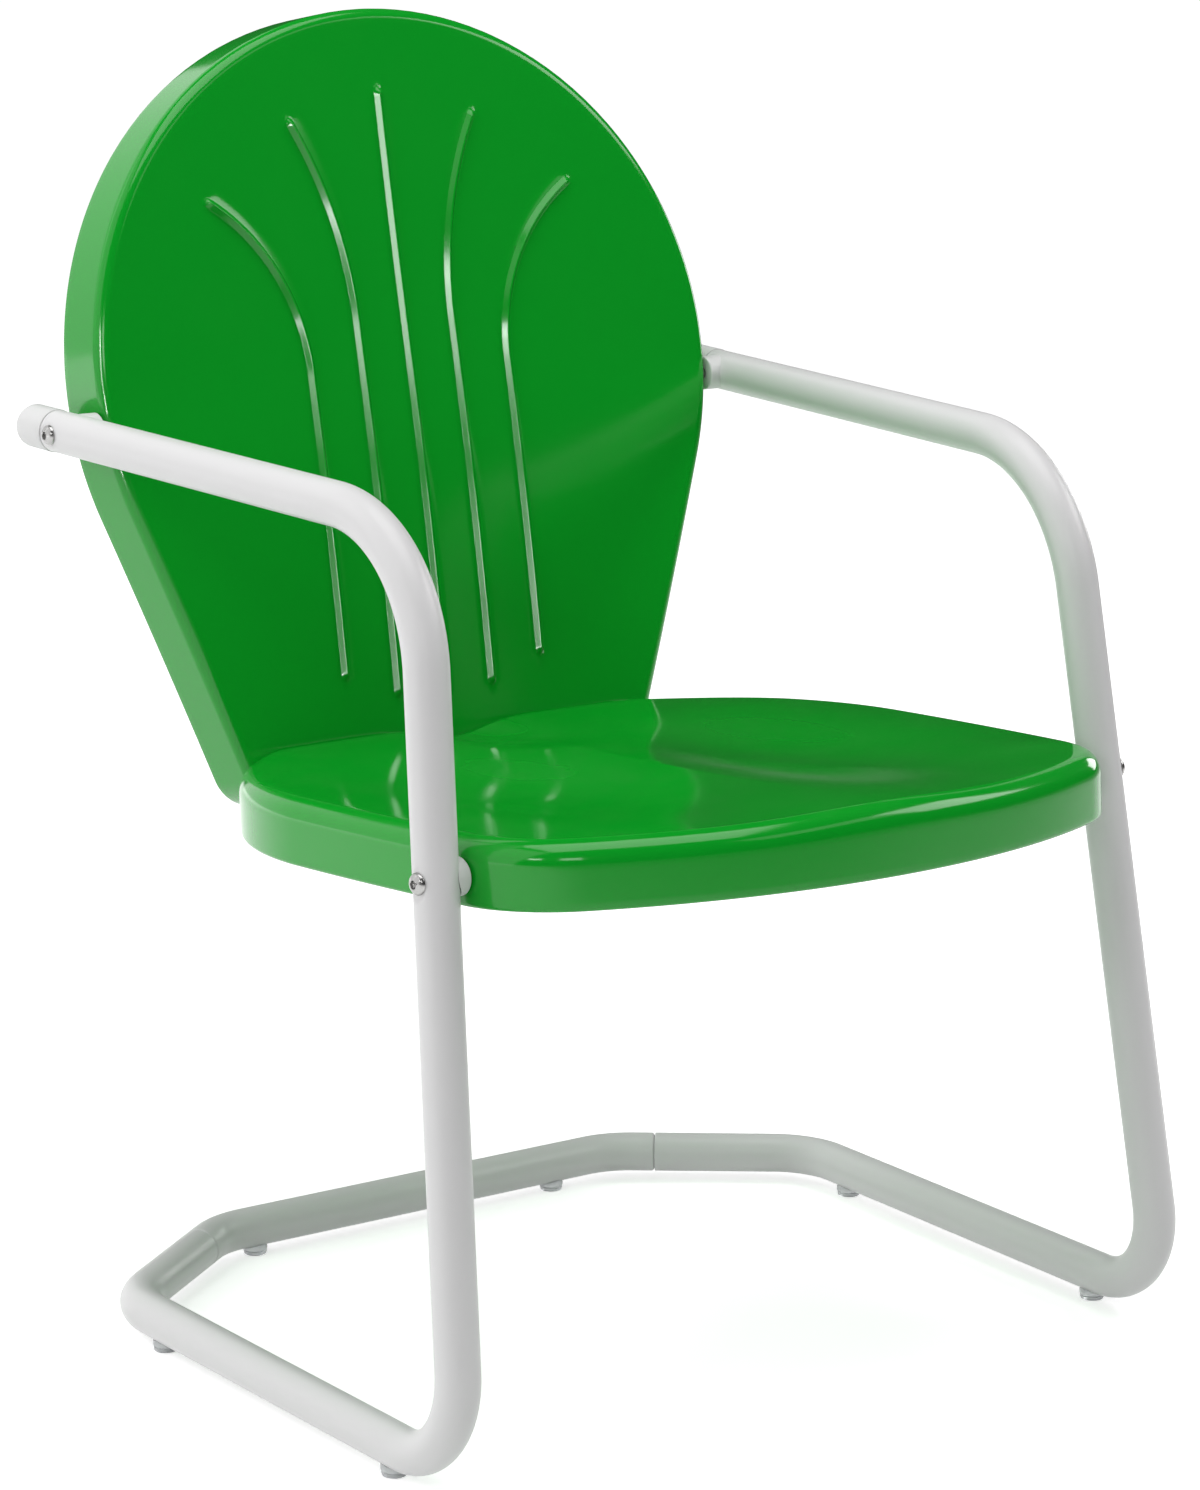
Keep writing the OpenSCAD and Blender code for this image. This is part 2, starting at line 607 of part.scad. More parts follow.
// Columns: for each rib two feet and two crests, and plain columns between
cross_offsets = [-rib_w / 2, -rib_crest / 2, rib_crest / 2, rib_w / 2];
function half_columns() = concat(
    [for (o = [2, 3]) [0, 0, 0, o]], [[0, 1, 1 / 2, -1]],
    [for (o = [0 : 3]) [1, 1, 0, o]], [[1, 2, 1 / 2, -1]],
    [for (o = [0 : 3]) [2, 2, 0, o]], [for (q = [0.28, 0.6, 0.9]) [2, 3, q, -1]], [[3, 3, 0, -1]]);
function rib_foot_point(k, row, o) = let (p = rib_line(k, row)) [p.x + o * cos(p.z), p.y - o * sin(p.z)];
// Point of the right half of the face for a column, before it is bent into the dish
function plan_point(col, row) =
    col[3] >= 0 ? snap_edge(rib_foot_point(col[0], row, cross_offsets[col[3]]), row) :
    col[0] == 3 ? station_out(edge_station(edge_share(row)), back_roll_r) :
    let (a = rib_foot_point(col[0], row, rib_w / 2),
         b = col[1] == 3 ? station_out(edge_station(edge_share(row)), back_roll_r)
                         : rib_foot_point(col[1], row, -rib_w / 2))
        snap_edge(a + col[2] * (b - a), row);
function snap_edge(p, row) = row == row_count - 1 ? on_top_edge(p) :
        row == 0 ? station_out(low_station(p.x), back_roll_r) : p;
function is_raised(row) = row > len(low_rows) && row < len(low_rows) + len(rib_shares) - 1;
function rib_rise(col, row) = is_raised(row) && (col[3] == 1 || col[3] == 2) ? rib_h : 0;

columns = half_columns();
col_count = 2 * len(columns);
// Grid of the whole face, left to right, as [u, v, rise]
function grid_point(row, c) = let (half = len(columns), right = c >= half,
        col = columns[right ? c - half : half - 1 - c], p = plan_point(col, row))
    [right ? p.x : -p.x, p.y, rib_rise(col, row)];
face_grid = [for (row = [0 : row_count - 1]) [for (c = [0 : col_count - 1]) grid_point(row, c)]];

// Stations all round the face, in the order of the grid's border
function top_station(p) = [0, back_top_v, back_top_r, atan2(p.y - back_top_v, p.x)];
function flip_station(s) = [-s[0], s[1], s[2], 180 - s[3]];
border_stations = concat(
    [for (c = [0 : col_count - 1]) low_station(face_grid[0][c].x)],
    [for (row = [1 : row_count - 2]) edge_station(edge_share(row))],
    [for (c = [col_count - 1 : -1 : 0]) top_station(face_grid[row_count - 1][c])],
    [for (row = [row_count - 2 : -1 : 1]) flip_station(edge_station(edge_share(row)))]);
border_ids = concat(
    [for (c = [0 : col_count - 1]) c],
    [for (row = [1 : row_count - 2]) row * col_count + col_count - 1],
    [for (c = [col_count - 1 : -1 : 0]) (row_count - 1) * col_count + c],
    [for (row = [row_count - 2 : -1 : 1]) row * col_count]);

function back_face(t) = [for (row = face_grid) for (p = row)
    back_point(p[0], p[1], face_w(p[0], p[1]) + p[2] - t)];
// Rings of rolled edge, flange and turned-in hem round the face
function back_ring(k, t) = [for (s = border_stations) let (
        e = pan_edge(back_roll_r, back_flange, 0, t)[k],
        draft = max(0, -e[1] - back_roll_r) * tan(back_draft),
        p = station_out(s, e[0] - draft), q = station_out(s, back_roll_r))
    back_point(p.x, p.y, face_w(q.x, q.y) + e[1])];
ring_ids = [1 : roll_steps + hem_steps + 2];

module back_pan() {
    cells = row_count * col_count;
    n = len(border_ids);
    outer = [for (k = ring_ids) back_ring(k, 0)];
    inner = reversed([for (k = ring_ids) back_ring(k, sheet_t)]);
    rings = concat(outer, inner);
    m = len(rings);
    points = concat(back_face(0), flat_list(rings), back_face(sheet_t));
    rear_base = cells + n * m;
    function ring_id(k, i) = k < 0 ? border_ids[i % n] :
        k < m ? cells + k * n + i % n : rear_base + border_ids[i % n];
    function cell_id(row, c) = row * col_count + c;
    faces = concat(
        [for (row = [0 : row_count - 2]) for (c = [0 : col_count - 2])
         [cell_id(row, c), cell_id(row + 1, c), cell_id(row, c + 1)]],
        [for (row = [0 : row_count - 2]) for (c = [0 : col_count - 2])
         [cell_id(row, c + 1), cell_id(row + 1, c), cell_id(row + 1, c + 1)]],
        [for (k = [-1 : m - 1]) for (i = [0 : n - 1])
         [ring_id(k, i), ring_id(k, i + 1), ring_id(k + 1, i)]],
        [for (k = [-1 : m - 1]) for (i = [0 : n - 1])
         [ring_id(k, i + 1), ring_id(k + 1, i + 1), ring_id(k + 1, i)]],
        [for (row = [0 : row_count - 2]) for (c = [0 : col_count - 2])
         [rear_base + cell_id(row, c), rear_base + cell_id(row, c + 1), rear_base + cell_id(row + 1, c)]],
        [for (row = [0 : row_count - 2]) for (c = [0 : col_count - 2])
         [rear_base + cell_id(row, c + 1), rear_base + cell_id(row + 1, c + 1),
          rear_base + cell_id(row + 1, c)]]);
    polyhedron(points = points, faces = faces);
}

module back_shell() {
    color(green) difference() {
        back_pan();
        both_sides() pan_bolt_cut(arm_at, 0);
        back_bolt_holes();
    }
}

// Distance from each tube's axis to the pan beside it, along the bolt
flange_depth_at = let (v = (arm_at.z - back_z) / cos(back_lean))
    (arm_at.y - back_y - v * sin(back_lean)) / cos(back_lean) + edge_w(v);
flange_v = (arm_at.z - back_z + flange_depth_at * sin(back_lean)) / cos(back_lean);
flange_x = half_width(flange_v) + max(0, flange_depth_at - back_roll_r) * tan(back_draft);
arm_reach = arm_at.x - flange_x;
// The seat bolt stands square to the seat's side, or to its front corner if that reaches it
bolt_on_seat = [upright_at.x, (upright_at.y + seat_y) / cos(seat_tilt)];
function turn_about(c) = atan2(bolt_on_seat.y - c.y, bolt_on_seat.x - c.x);
to_corner = (turn_about(side_c) - front_touch) * PI / 180 * seat_side_r;
skirt_c = to_corner < 0 ? front_corner_c : side_c;
skirt_r = to_corner < 0 ? seat_corner_r : seat_side_r;
seat_reach = norm(bolt_on_seat - skirt_c) - skirt_r;
seat_bolt_turn = turn_about(skirt_c);

// Slopes of the back's flange and of the seat's skirt against the bolts, in degrees
flange_slopes = [back_draft, asin((back_top_v - flange_v) / back_top_r)];
skirt_slopes = [seat_tilt * sin(seat_bolt_turn), 0];
// How far a sloped and bent sheet falls away at radius r from a bolt's axis
function sheet_fall(r, slopes, bend) = r * norm([tan(slopes[0]), tan(slopes[1])]) + r * r / (2 * bend);
function flange_fall(r) = sheet_fall(r, flange_slopes, back_top_r);
function skirt_fall(r) = sheet_fall(r, skirt_slopes, r < to_corner ? seat_side_r : seat_corner_r);
// The front of the arm bolt's washer lies inside the back's rolled edge
washer_front = back_roll_r - max(0, flange_depth_at - washer_d / 2);
roll_inside = back_roll_r - sheet_t;
roll_fall = roll_inside - sqrt(pow(roll_inside, 2) - pow(max(0, washer_front), 2));
arm_washer_fall = max(roll_fall, flange_fall(washer_d / 2)) + rest_gap;
seat_washer_fall = skirt_fall(washer_d / 2);

// Spacer between pan and tube, saddled over the tube that runs from a to b
module spacer(p, turn, reach, a, b) {
    difference() {
        on_bolt(p, turn) translate([-reach + rest_gap, 0, 0]) rotate([0, 90, 0])
            cylinder(d = spacer_d, h = reach - rest_gap, $fn = 64);
        bar(a, b, tube_r + rest_gap);
        pan_bolt_cut(p, turn);
    }
}
module arm_spacer() {
    past_end = arm_end + spacer_d * unit(arm_end - arm_corner);
    spacer(arm_at, 0, arm_reach - flange_fall(spacer_d / 2), arm_corner, past_end);
}
module seat_spacer() {
    spacer(upright_at, seat_bolt_turn, seat_reach - skirt_fall(spacer_d / 2), rail_start, arm_corner);
}
module left_arm_spacer() { color(plastic_white) mirror([1, 0, 0]) arm_spacer(); }
module right_arm_spacer() { color(plastic_white) arm_spacer(); }
module left_seat_spacer() { color(plastic_white) mirror([1, 0, 0]) seat_spacer(); }
module right_seat_spacer() { color(plastic_white) seat_spacer(); }

// Button-head bolt drawn along -X: the head's underside lies at x = 0, the head at x > 0
module button_bolt(d, length) {
    steps = 8;
    dome_r = 1.75 * d / 2;
    dome_h = 0.55 * d;
    dome = [for (i = [0 : steps]) let (a = 90 * i / steps)
            [dome_r * cos(a), 0.12 * dome_h + 0.88 * dome_h * sin(a)]];
    rotate([0, 90, 0]) difference() {
        union() {
            rotate_extrude($fn = 64) polygon(concat([[0, 0], [dome_r, 0]], dome));
            translate([0, 0, -length]) cylinder(d = d, h = length + dome_h / 2, $fn = 48);
        }
        translate([0, 0, dome_h * 0.45]) cylinder(d = 0.625 * d / cos(30), h = dome_h, $fn = 6);
    }
}

module washer(d, outer, t) {
    rotate([0, 90, 0]) difference() {
        cylinder(d = outer, h = t, $fn = 48);
        translate([0, 0, -1]) cylinder(r = d / 2 + hole_gap, h = t + 2, $fn = 32);
    }
}

module nut(d, width, h) {
    rotate([0, 90, 0]) difference() {
        cylinder(d = width / cos(30), h = h, $fn = 6);
        translate([0, 0, -1]) cylinder(r = d / 2 + thread_gap, h = h + 2, $fn = 32);
    }
}

// Stack of a side bolt, measured inwards from the tube's axis: pan, washer, nut
head_x = tube_r - flat_depth;
bolt_proud = 2.5;
function washer_in(reach, fall) = reach + sheet_t + fall + rest_gap + washer_t;
function nut_in(reach, fall) = washer_in(reach, fall) + side_nut_h;

module side_bolt(p, turn, reach, fall) {
    on_bolt(p, turn) translate([head_x, 0, 0])
        button_bolt(side_bolt_d, head_x + nut_in(reach, fall) + bolt_proud);
}
module side_washer(p, turn, reach, fall) {
    on_bolt(p, turn) translate([-washer_in(reach, fall), 0, 0])
        washer(side_bolt_d, washer_d, washer_t);
}
module side_nut(p, turn, reach, fall) {
    on_bolt(p, turn) translate([-nut_in(reach, fall), 0, 0])
        nut(side_bolt_d, side_nut_w, side_nut_h);
}
module both_sides() { for (flip = [0, 1]) mirror([flip, 0, 0]) children(); }
module arm_bolt() { side_bolt(arm_at, 0, arm_reach, arm_washer_fall); }
module seat_bolt() { side_bolt(upright_at, seat_bolt_turn, seat_reach, seat_washer_fall); }

module right_arm_bolt() { color(steel) arm_bolt(); }
module left_arm_bolt() { color(steel) mirror([1, 0, 0]) arm_bolt(); }
module right_seat_bolt() { color(steel) seat_bolt(); }
module left_seat_bolt() { color(steel) mirror([1, 0, 0]) seat_bolt(); }
module arm_washers() { color(steel) both_sides() side_washer(arm_at, 0, arm_reach, arm_washer_fall); }
module arm_nuts() { color(steel) both_sides() side_nut(arm_at, 0, arm_reach, arm_washer_fall); }
module seat_washers() {
    color(steel) both_sides() side_washer(upright_at, seat_bolt_turn, seat_reach, seat_washer_fall);
}
module seat_nuts() {
    color(steel) both_sides() side_nut(upright_at, seat_bolt_turn, seat_reach, seat_washer_fall);
}

// Back bolts: head and washer behind the back pan, nut under the seat
function face_y(x, z) = let (v = (z - back_z) / cos(back_lean))
    back_y + v * sin(back_lean) - face_w(x, v) * cos(back_lean)
    - face_w(x, v) * sin(back_lean) * tan(back_lean);
back_washer_d = 2 * back_bolt_d;
back_nut_h = 0.85 * back_bolt_d;
lean_at_bolts = 8;
lean_fall = back_washer_d / 2 * tan(lean_at_bolts);
function rear_y(x) = face_y(x, back_bolt_z) + sheet_t + lean_fall + rest_gap;
pan_gap = 1.5;
back_grip = sheet_t * 2 + 2 * lean_fall + 3 * rest_gap + pan_gap;

module back_bolt_stack(x) {
    translate([x, rear_y(x), back_bolt_z]) rotate([0, 0, 90]) children();
}
module back_washers() {
    color(steel) for (x = back_bolt_xs) back_bolt_stack(x) washer(back_bolt_d, back_washer_d, washer_t);
}
module back_bolts() {
    color(steel) for (x = back_bolt_xs) back_bolt_stack(x) translate([washer_t + 0.05, 0, 0])
        button_bolt(back_bolt_d, washer_t + back_grip + back_nut_h + bolt_proud);
}
module back_nuts() {
    color(steel) for (x = back_bolt_xs) back_bolt_stack(x) translate([-back_grip - back_nut_h, 0, 0])
        nut(back_bolt_d, 1.667 * back_bolt_d, back_nut_h);
}

// Glide under a floor tube that runs from a to b, with a stem in the tube
module glide(p, a, b) {
    sole = 1.2;
    stem_up = 4;
    difference() {
        union() {
            translate([0, 0, sole]) translate([p.x, p.y, 0])
                cylinder(d = glide_d, h = p.z - sole, $fn = 64);
            translate([p.x, p.y, 0]) cylinder(d1 = glide_d - 2 * sole, d2 = glide_d, h = sole, $fn = 64);
        }
        bar(a, b, tube_r + rest_gap);
        translate([p.x, p.y, p.z]) cylinder(d = 2 * glide_d, h = tube_d, $fn = 32);
    }
    translate([p.x, p.y, p.z - tube_r - 2]) cylinder(d = glide_stem_d, h = stem_up, $fn = 48);
}
module front_glide_part() { glide(front_glide, rail_start, rail_end); }
module rear_glide_part() { glide(rear_glide, rail_start, rail_end); }
module cross_glide_part(p) { glide(p, mirrored(cross_corner), cross_corner); }
module left_front_glide() { color(clear_grey) mirror([1, 0, 0]) front_glide_part(); }
module right_front_glide() { color(clear_grey) front_glide_part(); }
module left_rear_glide() { color(clear_grey) mirror([1, 0, 0]) rear_glide_part(); }
module right_rear_glide() { color(clear_grey) rear_glide_part(); }
module left_cross_glide() { color(clear_grey) cross_glide_part(left_cross_at); }
module right_cross_glide() { color(clear_grey) cross_glide_part(right_cross_at); }

left_side_frame();
right_side_frame();
rear_cross_tube();
seat_shell();
back_shell();
left_arm_cap();
right_arm_cap();
left_arm_spacer();
right_arm_spacer();
left_seat_spacer();
right_seat_spacer();
left_arm_bolt();
right_arm_bolt();
left_seat_bolt();
right_seat_bolt();
arm_washers();
arm_nuts();
seat_washers();
seat_nuts();
back_bolts();
back_washers();
back_nuts();
left_front_glide();
right_front_glide();
left_rear_glide();
right_rear_glide();
left_cross_glide();
right_cross_glide();
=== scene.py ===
"""Patio chair: enamelled pressed steel pans on a bent white tube frame, in a white studio."""

import json
import logging
import math
from dataclasses import dataclass, field
from enum import Enum

import bpy
import numpy as np
from mathutils import Matrix, Vector


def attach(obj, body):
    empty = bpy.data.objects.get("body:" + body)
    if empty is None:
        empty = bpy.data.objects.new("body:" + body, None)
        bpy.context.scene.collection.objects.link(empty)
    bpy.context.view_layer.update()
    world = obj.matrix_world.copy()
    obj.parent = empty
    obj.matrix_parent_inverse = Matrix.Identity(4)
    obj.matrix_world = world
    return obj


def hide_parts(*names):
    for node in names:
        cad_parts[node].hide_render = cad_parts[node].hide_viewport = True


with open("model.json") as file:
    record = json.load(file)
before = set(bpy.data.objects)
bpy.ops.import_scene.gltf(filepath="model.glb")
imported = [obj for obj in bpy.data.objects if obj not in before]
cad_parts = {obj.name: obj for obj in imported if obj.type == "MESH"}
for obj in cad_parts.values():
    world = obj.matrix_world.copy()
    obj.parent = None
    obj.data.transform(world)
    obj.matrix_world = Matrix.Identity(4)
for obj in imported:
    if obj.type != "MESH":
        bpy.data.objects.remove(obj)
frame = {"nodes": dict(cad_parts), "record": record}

LOG = logging.getLogger("patio_chair")
BODY = "root"
MM = 0.001
OUTWARD = np.array([1.0, 0.0, 0.0])
REARWARD = np.array([0.0, 1.0, 0.0])
UP = np.array([0.0, 0.0, 1.0])
TURN = 2.0 * math.pi

Array = np.ndarray
Faces = list[tuple[int, ...]]
Colour = tuple[float, float, float]
Place = tuple[Array, Array, Array]
Station = tuple[float, float, float, float]
Material = bpy.types.Material
Node = bpy.types.Node
Piece = bpy.types.Object
Socket = bpy.types.NodeSocket


class Side(Enum):
    """Which half of the chair a piece belongs to."""

    LEFT = -1
    RIGHT = 1

    def put(self, p: Array) -> Array:
        """Returns a point or direction of the right half on this side."""
        return np.asarray(p, float) * np.array([self.value, 1.0, 1.0])


class Slot(Enum):
    """The chair's finishes, by the record's slot names."""

    GREEN = "green_enamel"
    WHITE = "white_enamel"
    PLASTIC = "white_plastic"
    CLEAR = "clear_plastic"
    SCREW = "stainless_steel"
    ZINC = "zinc_steel"


def unit(v: Array) -> Array:
    """Returns v at length one."""
    return np.asarray(v, float) / np.linalg.norm(v)


def smooth(t: Array | float) -> Array:
    """Returns the smooth step of t, which runs from 0 to 1."""
    c = np.clip(t, 0.0, 1.0)
    return c * c * (3.0 - 2.0 * c)


def bell(t: Array | float) -> Array:
    """Returns a bell curve of t with height one."""
    return np.exp(-np.square(t))


def polar(degrees: float, reach: float = 1.0) -> Array:
    """Returns the plane point at an angle from the first axis and a reach."""
    a = math.radians(degrees)
    return reach * np.array([math.cos(a), math.sin(a)])


def level_across(way: Array) -> Array:
    """Returns the level direction square to a way that isn't upright."""
    return unit(np.cross(UP, way))


def heading(azimuth: float, elevation: float) -> Vector:
    """Returns a direction; azimuth 0 is straight in front, positive towards +X."""
    a, e = math.radians(azimuth), math.radians(elevation)
    return Vector((math.sin(a) * math.cos(e), -math.cos(a) * math.cos(e), math.sin(e)))


def mesh_piece(name: str, points: Array, faces: Faces, finish: Material) -> Piece:
    """Makes a smooth-shaded mesh object at the origin.

    Args:
        name: the piece's name.
        points: its points in metres, in the chair's frame.
        faces: point numbers of each face, outwards.
        finish: its material.

    Returns:
        The new object, linked to the scene.
    """
    mesh = bpy.data.meshes.new(name)
    mesh.from_pydata([tuple(p) for p in points], [], faces)
    mesh.polygons.foreach_set("use_smooth", np.ones(len(mesh.polygons), bool))
    mesh.materials.append(finish)
    mesh.update()
    piece = bpy.data.objects.new(name, mesh)
    bpy.context.scene.collection.objects.link(piece)
    return piece


def keep_creases(piece: Piece, degrees: float) -> Piece:
    """Stops smooth shading at edges sharper than an angle, and returns the piece."""
    piece.data.set_sharp_from_angle(angle=math.radians(degrees))
    return piece


def seat_piece(piece: Piece, slot: str, *nodes: str) -> None:
    """Hands a finished piece to the chair.

    Args:
        piece: the piece, in place.
        slot: the name of its material slot; not used.
        nodes: the solids that it stands for.
    """
    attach(piece, BODY)
    if nodes:
        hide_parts(*nodes)
    LOG.info("%s: %d faces", piece.name, len(piece.data.polygons))


class Nodes:
    """A node tree under construction."""

    def __init__(self, tree: bpy.types.NodeTree) -> None:
        """Takes the tree to build in."""
        self.tree = tree

    def feed(self, node: Node, inputs: dict[str | int, object]) -> None:
        """Fills inputs of a node.

        Args:
            node: the node.
            inputs: a socket to link or a value to set, by the input's name or number.
        """
        for key, value in inputs.items():
            if isinstance(value, Socket):
                self.tree.links.new(value, node.inputs[key])
            else:
                node.inputs[key].default_value = value

    def add(self, kind: str, inputs: dict[str | int, object], **settings: object) -> Node:
        """Adds a node.

        Args:
            kind: the node's type.
            inputs: what fills its inputs.
            settings: its properties.

        Returns:
            The node.
        """
        node = self.tree.nodes.new(kind)
        for key, value in settings.items():
            setattr(node, key, value)
        self.feed(node, inputs)
        return node

    def calc(self, operation: str, a: Socket, b: Socket) -> Socket:
        """Returns the result of a Math node on two sockets."""
        return self.add("ShaderNodeMath", {0: a, 1: b}, operation=operation).outputs[0]

    def ranged(self, value: Socket, source: tuple[object, object],
               target: tuple[object, object] = (0.0, 1.0), easing: str = "LINEAR") -> Socket:
        """Maps a value from one range to another, and holds it at the ends.

        Args:
            value: the value's socket.
            source: the range it comes from, as numbers or sockets.
            target: the range it goes to.
            easing: how it runs between the ends.

        Returns:
            The socket of the mapped value.
        """
        inputs = dict(zip(("From Min", "From Max", "To Min", "To Max"), source + target))
        node = self.add("ShaderNodeMapRange", {"Value": value, **inputs}, interpolation_type=easing)
        return node.outputs["Result"]


class Group(Nodes):
    """A node group with named inputs and outputs."""

    def __init__(self, name: str, kind: str, inputs: dict[str, tuple[str, object]],
                 outputs: dict[str, str]) -> None:
        """Starts the group.

        Args:
            name: the group's name.
            kind: the tree's type.
            inputs: socket kind and default of each input.
            outputs: socket kind of each output.
        """
        super().__init__(bpy.data.node_groups.new(name, kind))
        sockets = self.tree.interface
        self.keys: dict[str, str] = {}
        for key, (socket, value) in inputs.items():
            made = sockets.new_socket(key, in_out="INPUT", socket_type=f"NodeSocket{socket}")
            if value is not None:
                made.default_value = value
            self.keys[key] = made.identifier
        for key, socket in outputs.items():
            sockets.new_socket(key, in_out="OUTPUT", socket_type=f"NodeSocket{socket}")
        self.given = self.tree.nodes.new("NodeGroupInput").outputs
        self.outlet = self.tree.nodes.new("NodeGroupOutput")


class ShaderGroup(Group):
    """A shader group that reads a place and gives numbers."""

    def __init__(self, name: str, inputs: dict[str, float], *outputs: str) -> None:
        """Starts a group with numbers as inputs, besides the place, and as outputs."""
        numbers = {key: ("Float", value) for key, value in inputs.items()}
        super().__init__(name, "ShaderNodeTree", {"Place": ("Vector", None), **numbers},
                         dict.fromkeys(outputs, "Float"))

    def noise(self, scale: Socket | float, detail: float, roughness: float) -> Socket:
        """Returns noise of a scale, with its octaves and the share of the finer ones."""
        return self.add("ShaderNodeTexNoise", {
            "Vector": self.given["Place"], "Scale": scale, "Detail": detail,
            "Roughness": roughness}).outputs["Fac"]


def orange_peel_group() -> bpy.types.ShaderNodeTree:
    """Powder coat's slow waves and fine peel, as a height, with a roughness that varies.

    Returns:
        The shader group.
    """
    group = ShaderGroup("powder coat surface", {
        "Wave scale": 60.0, "Peel scale": 900.0, "Peel share": 0.35, "Roughness low": 0.2,
        "Roughness high": 0.3}, "Height", "Roughness")
    given = group.given
    height = group.add("ShaderNodeMix", {
        "Factor": given["Peel share"], "A": group.noise(given["Wave scale"], 2.0, 0.45),
        "B": group.noise(given["Peel scale"], 2.0, 0.5)}, data_type="FLOAT")
    roughness = group.ranged(group.noise(14.0, 4.0, 0.6), (0.3, 0.7),
                             (given["Roughness low"], given["Roughness high"]))
    group.feed(group.outlet, {"Height": height.outputs["Result"], "Roughness": roughness})
    return group.tree


def edge_wear_group() -> bpy.types.ShaderNodeTree:
    """Mask of thin, rubbed coat along convex edges, broken up by noise.

    Returns:
        The shader group.
    """
    group = ShaderGroup("rubbed edges", {
        "Break-up scale": 120.0, "Edge start": 0.53, "Edge end": 0.6}, "Wear")
    given = group.given
    relief = group.add("ShaderNodeNewGeometry", {})
    edge = group.ranged(relief.outputs["Pointiness"], (given["Edge start"], given["Edge end"]))
    patch = group.ranged(group.noise(given["Break-up scale"], 5.0, 0.65), (0.46, 0.66))
    group.feed(group.outlet, {"Wear": group.calc("MULTIPLY", edge, patch)})
    return group.tree


def settled_dust_group() -> bpy.types.ShaderNodeTree:
    """Faint dust that lies on faces that look upwards.

    Returns:
        The shader group.
    """
    group = ShaderGroup("settled dust", {"Amount": 0.05}, "Dust")
    relief = group.add("ShaderNodeNewGeometry", {})
    normal = group.add("ShaderNodeSeparateXYZ", {"Vector": relief.outputs["Normal"]})
    upward = group.ranged(normal.outputs["Z"], (0.5, 1.0))
    cover = group.ranged(group.noise(22.0, 6.0, 0.7), (0.42, 0.75))
    dust = group.calc("MULTIPLY", group.calc("MULTIPLY", upward, cover), group.given["Amount"])
    group.feed(group.outlet, {"Dust": dust})
    return group.tree


@dataclass
class Effects:
    """The shader groups that finishes share."""

    peel: bpy.types.ShaderNodeTree = field(default_factory=orange_peel_group)
    wear: bpy.types.ShaderNodeTree = field(default_factory=edge_wear_group)
    dust: bpy.types.ShaderNodeTree = field(default_factory=settled_dust_group)


class Paint(Nodes):
    """A material under construction."""

    # Numbers of a Mix node's colour sockets, which share their names with other sockets.
    FIRST, SECOND, MIXED = 6, 7, 2

    def __init__(self, name: str, colour: Colour) -> None:
        """Starts a plain material.

        Args:
            name: the material's name.
            colour: its base colour.
        """
        self.material = bpy.data.materials.new(name)
        self.material.use_nodes = True
        super().__init__(self.material.node_tree)
        self.shader = self.tree.nodes["Principled BSDF"]
        self.feed(self.shader, {"Base Color": (*colour, 1.0)})

    def effect(self, shared: bpy.types.ShaderNodeTree, keys: tuple[str, ...],
               values: tuple[float, ...]) -> bpy.types.bpy_prop_collection:
        """Places a shared group on Object coordinates.

        Args:
            shared: the group.
            keys: names of its inputs.
            values: a number for each.

        Returns:
            The group node's outputs.
        """
        place = self.add("ShaderNodeTexCoord", {}).outputs["Object"]
        return self.add("ShaderNodeGroup", {"Place": place, **dict(zip(keys, values))},
                        node_tree=shared).outputs

    def wear(self, effects: Effects, edges: tuple[float, float, float]) -> Socket:
        """Returns the mask of rubbed edges."""
        keys = ("Break-up scale", "Edge start", "Edge end")
        return self.effect(effects.wear, keys, edges)["Wear"]

    def dust(self, effects: Effects, amount: float) -> Socket:
        """Returns the mask of settled dust."""
        return self.effect(effects.dust, ("Amount",), (amount,))["Dust"]

    def mixed(self, mask: Socket, a: Colour | Socket, b: Colour | Socket) -> Socket:
        """Returns the colour a where the mask is 0 and b where it is 1."""
        a, b = ((*c, 1.0) if isinstance(c, tuple) else c for c in (a, b))
        return self.add("ShaderNodeMix", {"Factor": mask, self.FIRST: a, self.SECOND: b},
                        data_type="RGBA").outputs[self.MIXED]


@dataclass(frozen=True)
class Finish:
    """What every finish has: a colour, a range of roughness and a fine bump.

    Grain holds the scales of slow waves and of fine peel, and the peel's share. In finishes that
    wear, edges holds the scale of worn patches and the range of edges that they take.
    """

    name: str
    colour: Colour
    roughness: tuple[float, float]
    depth: float
    grain: tuple[float, float, float]

    def build(self, effects: Effects) -> Material:
        """Builds the finish.

        Args:
            effects: the shared groups.

        Returns:
            The material.
        """
        paint = Paint(self.name, self.colour)
        keys = ("Wave scale", "Peel scale", "Peel share", "Roughness low", "Roughness high")
        peel = paint.effect(effects.peel, keys, self.grain + self.roughness)
        bump = paint.add("ShaderNodeBump", {
            "Distance": self.depth, "Strength": 1.0, "Height": peel["Height"]})
        paint.feed(paint.shader, {"Roughness": peel["Roughness"], "Normal": bump.outputs["Normal"],
                                  **self.dress(paint, effects)})
        return paint.material

    def dress(self, paint: Paint, effects: Effects) -> dict[str, object]:
        """Returns what the shader's other inputs take."""
        raise NotImplementedError

    def shade(self, share: float) -> Colour:
        """Returns a darker share of the finish's colour."""
        return tuple(share * c for c in self.colour)


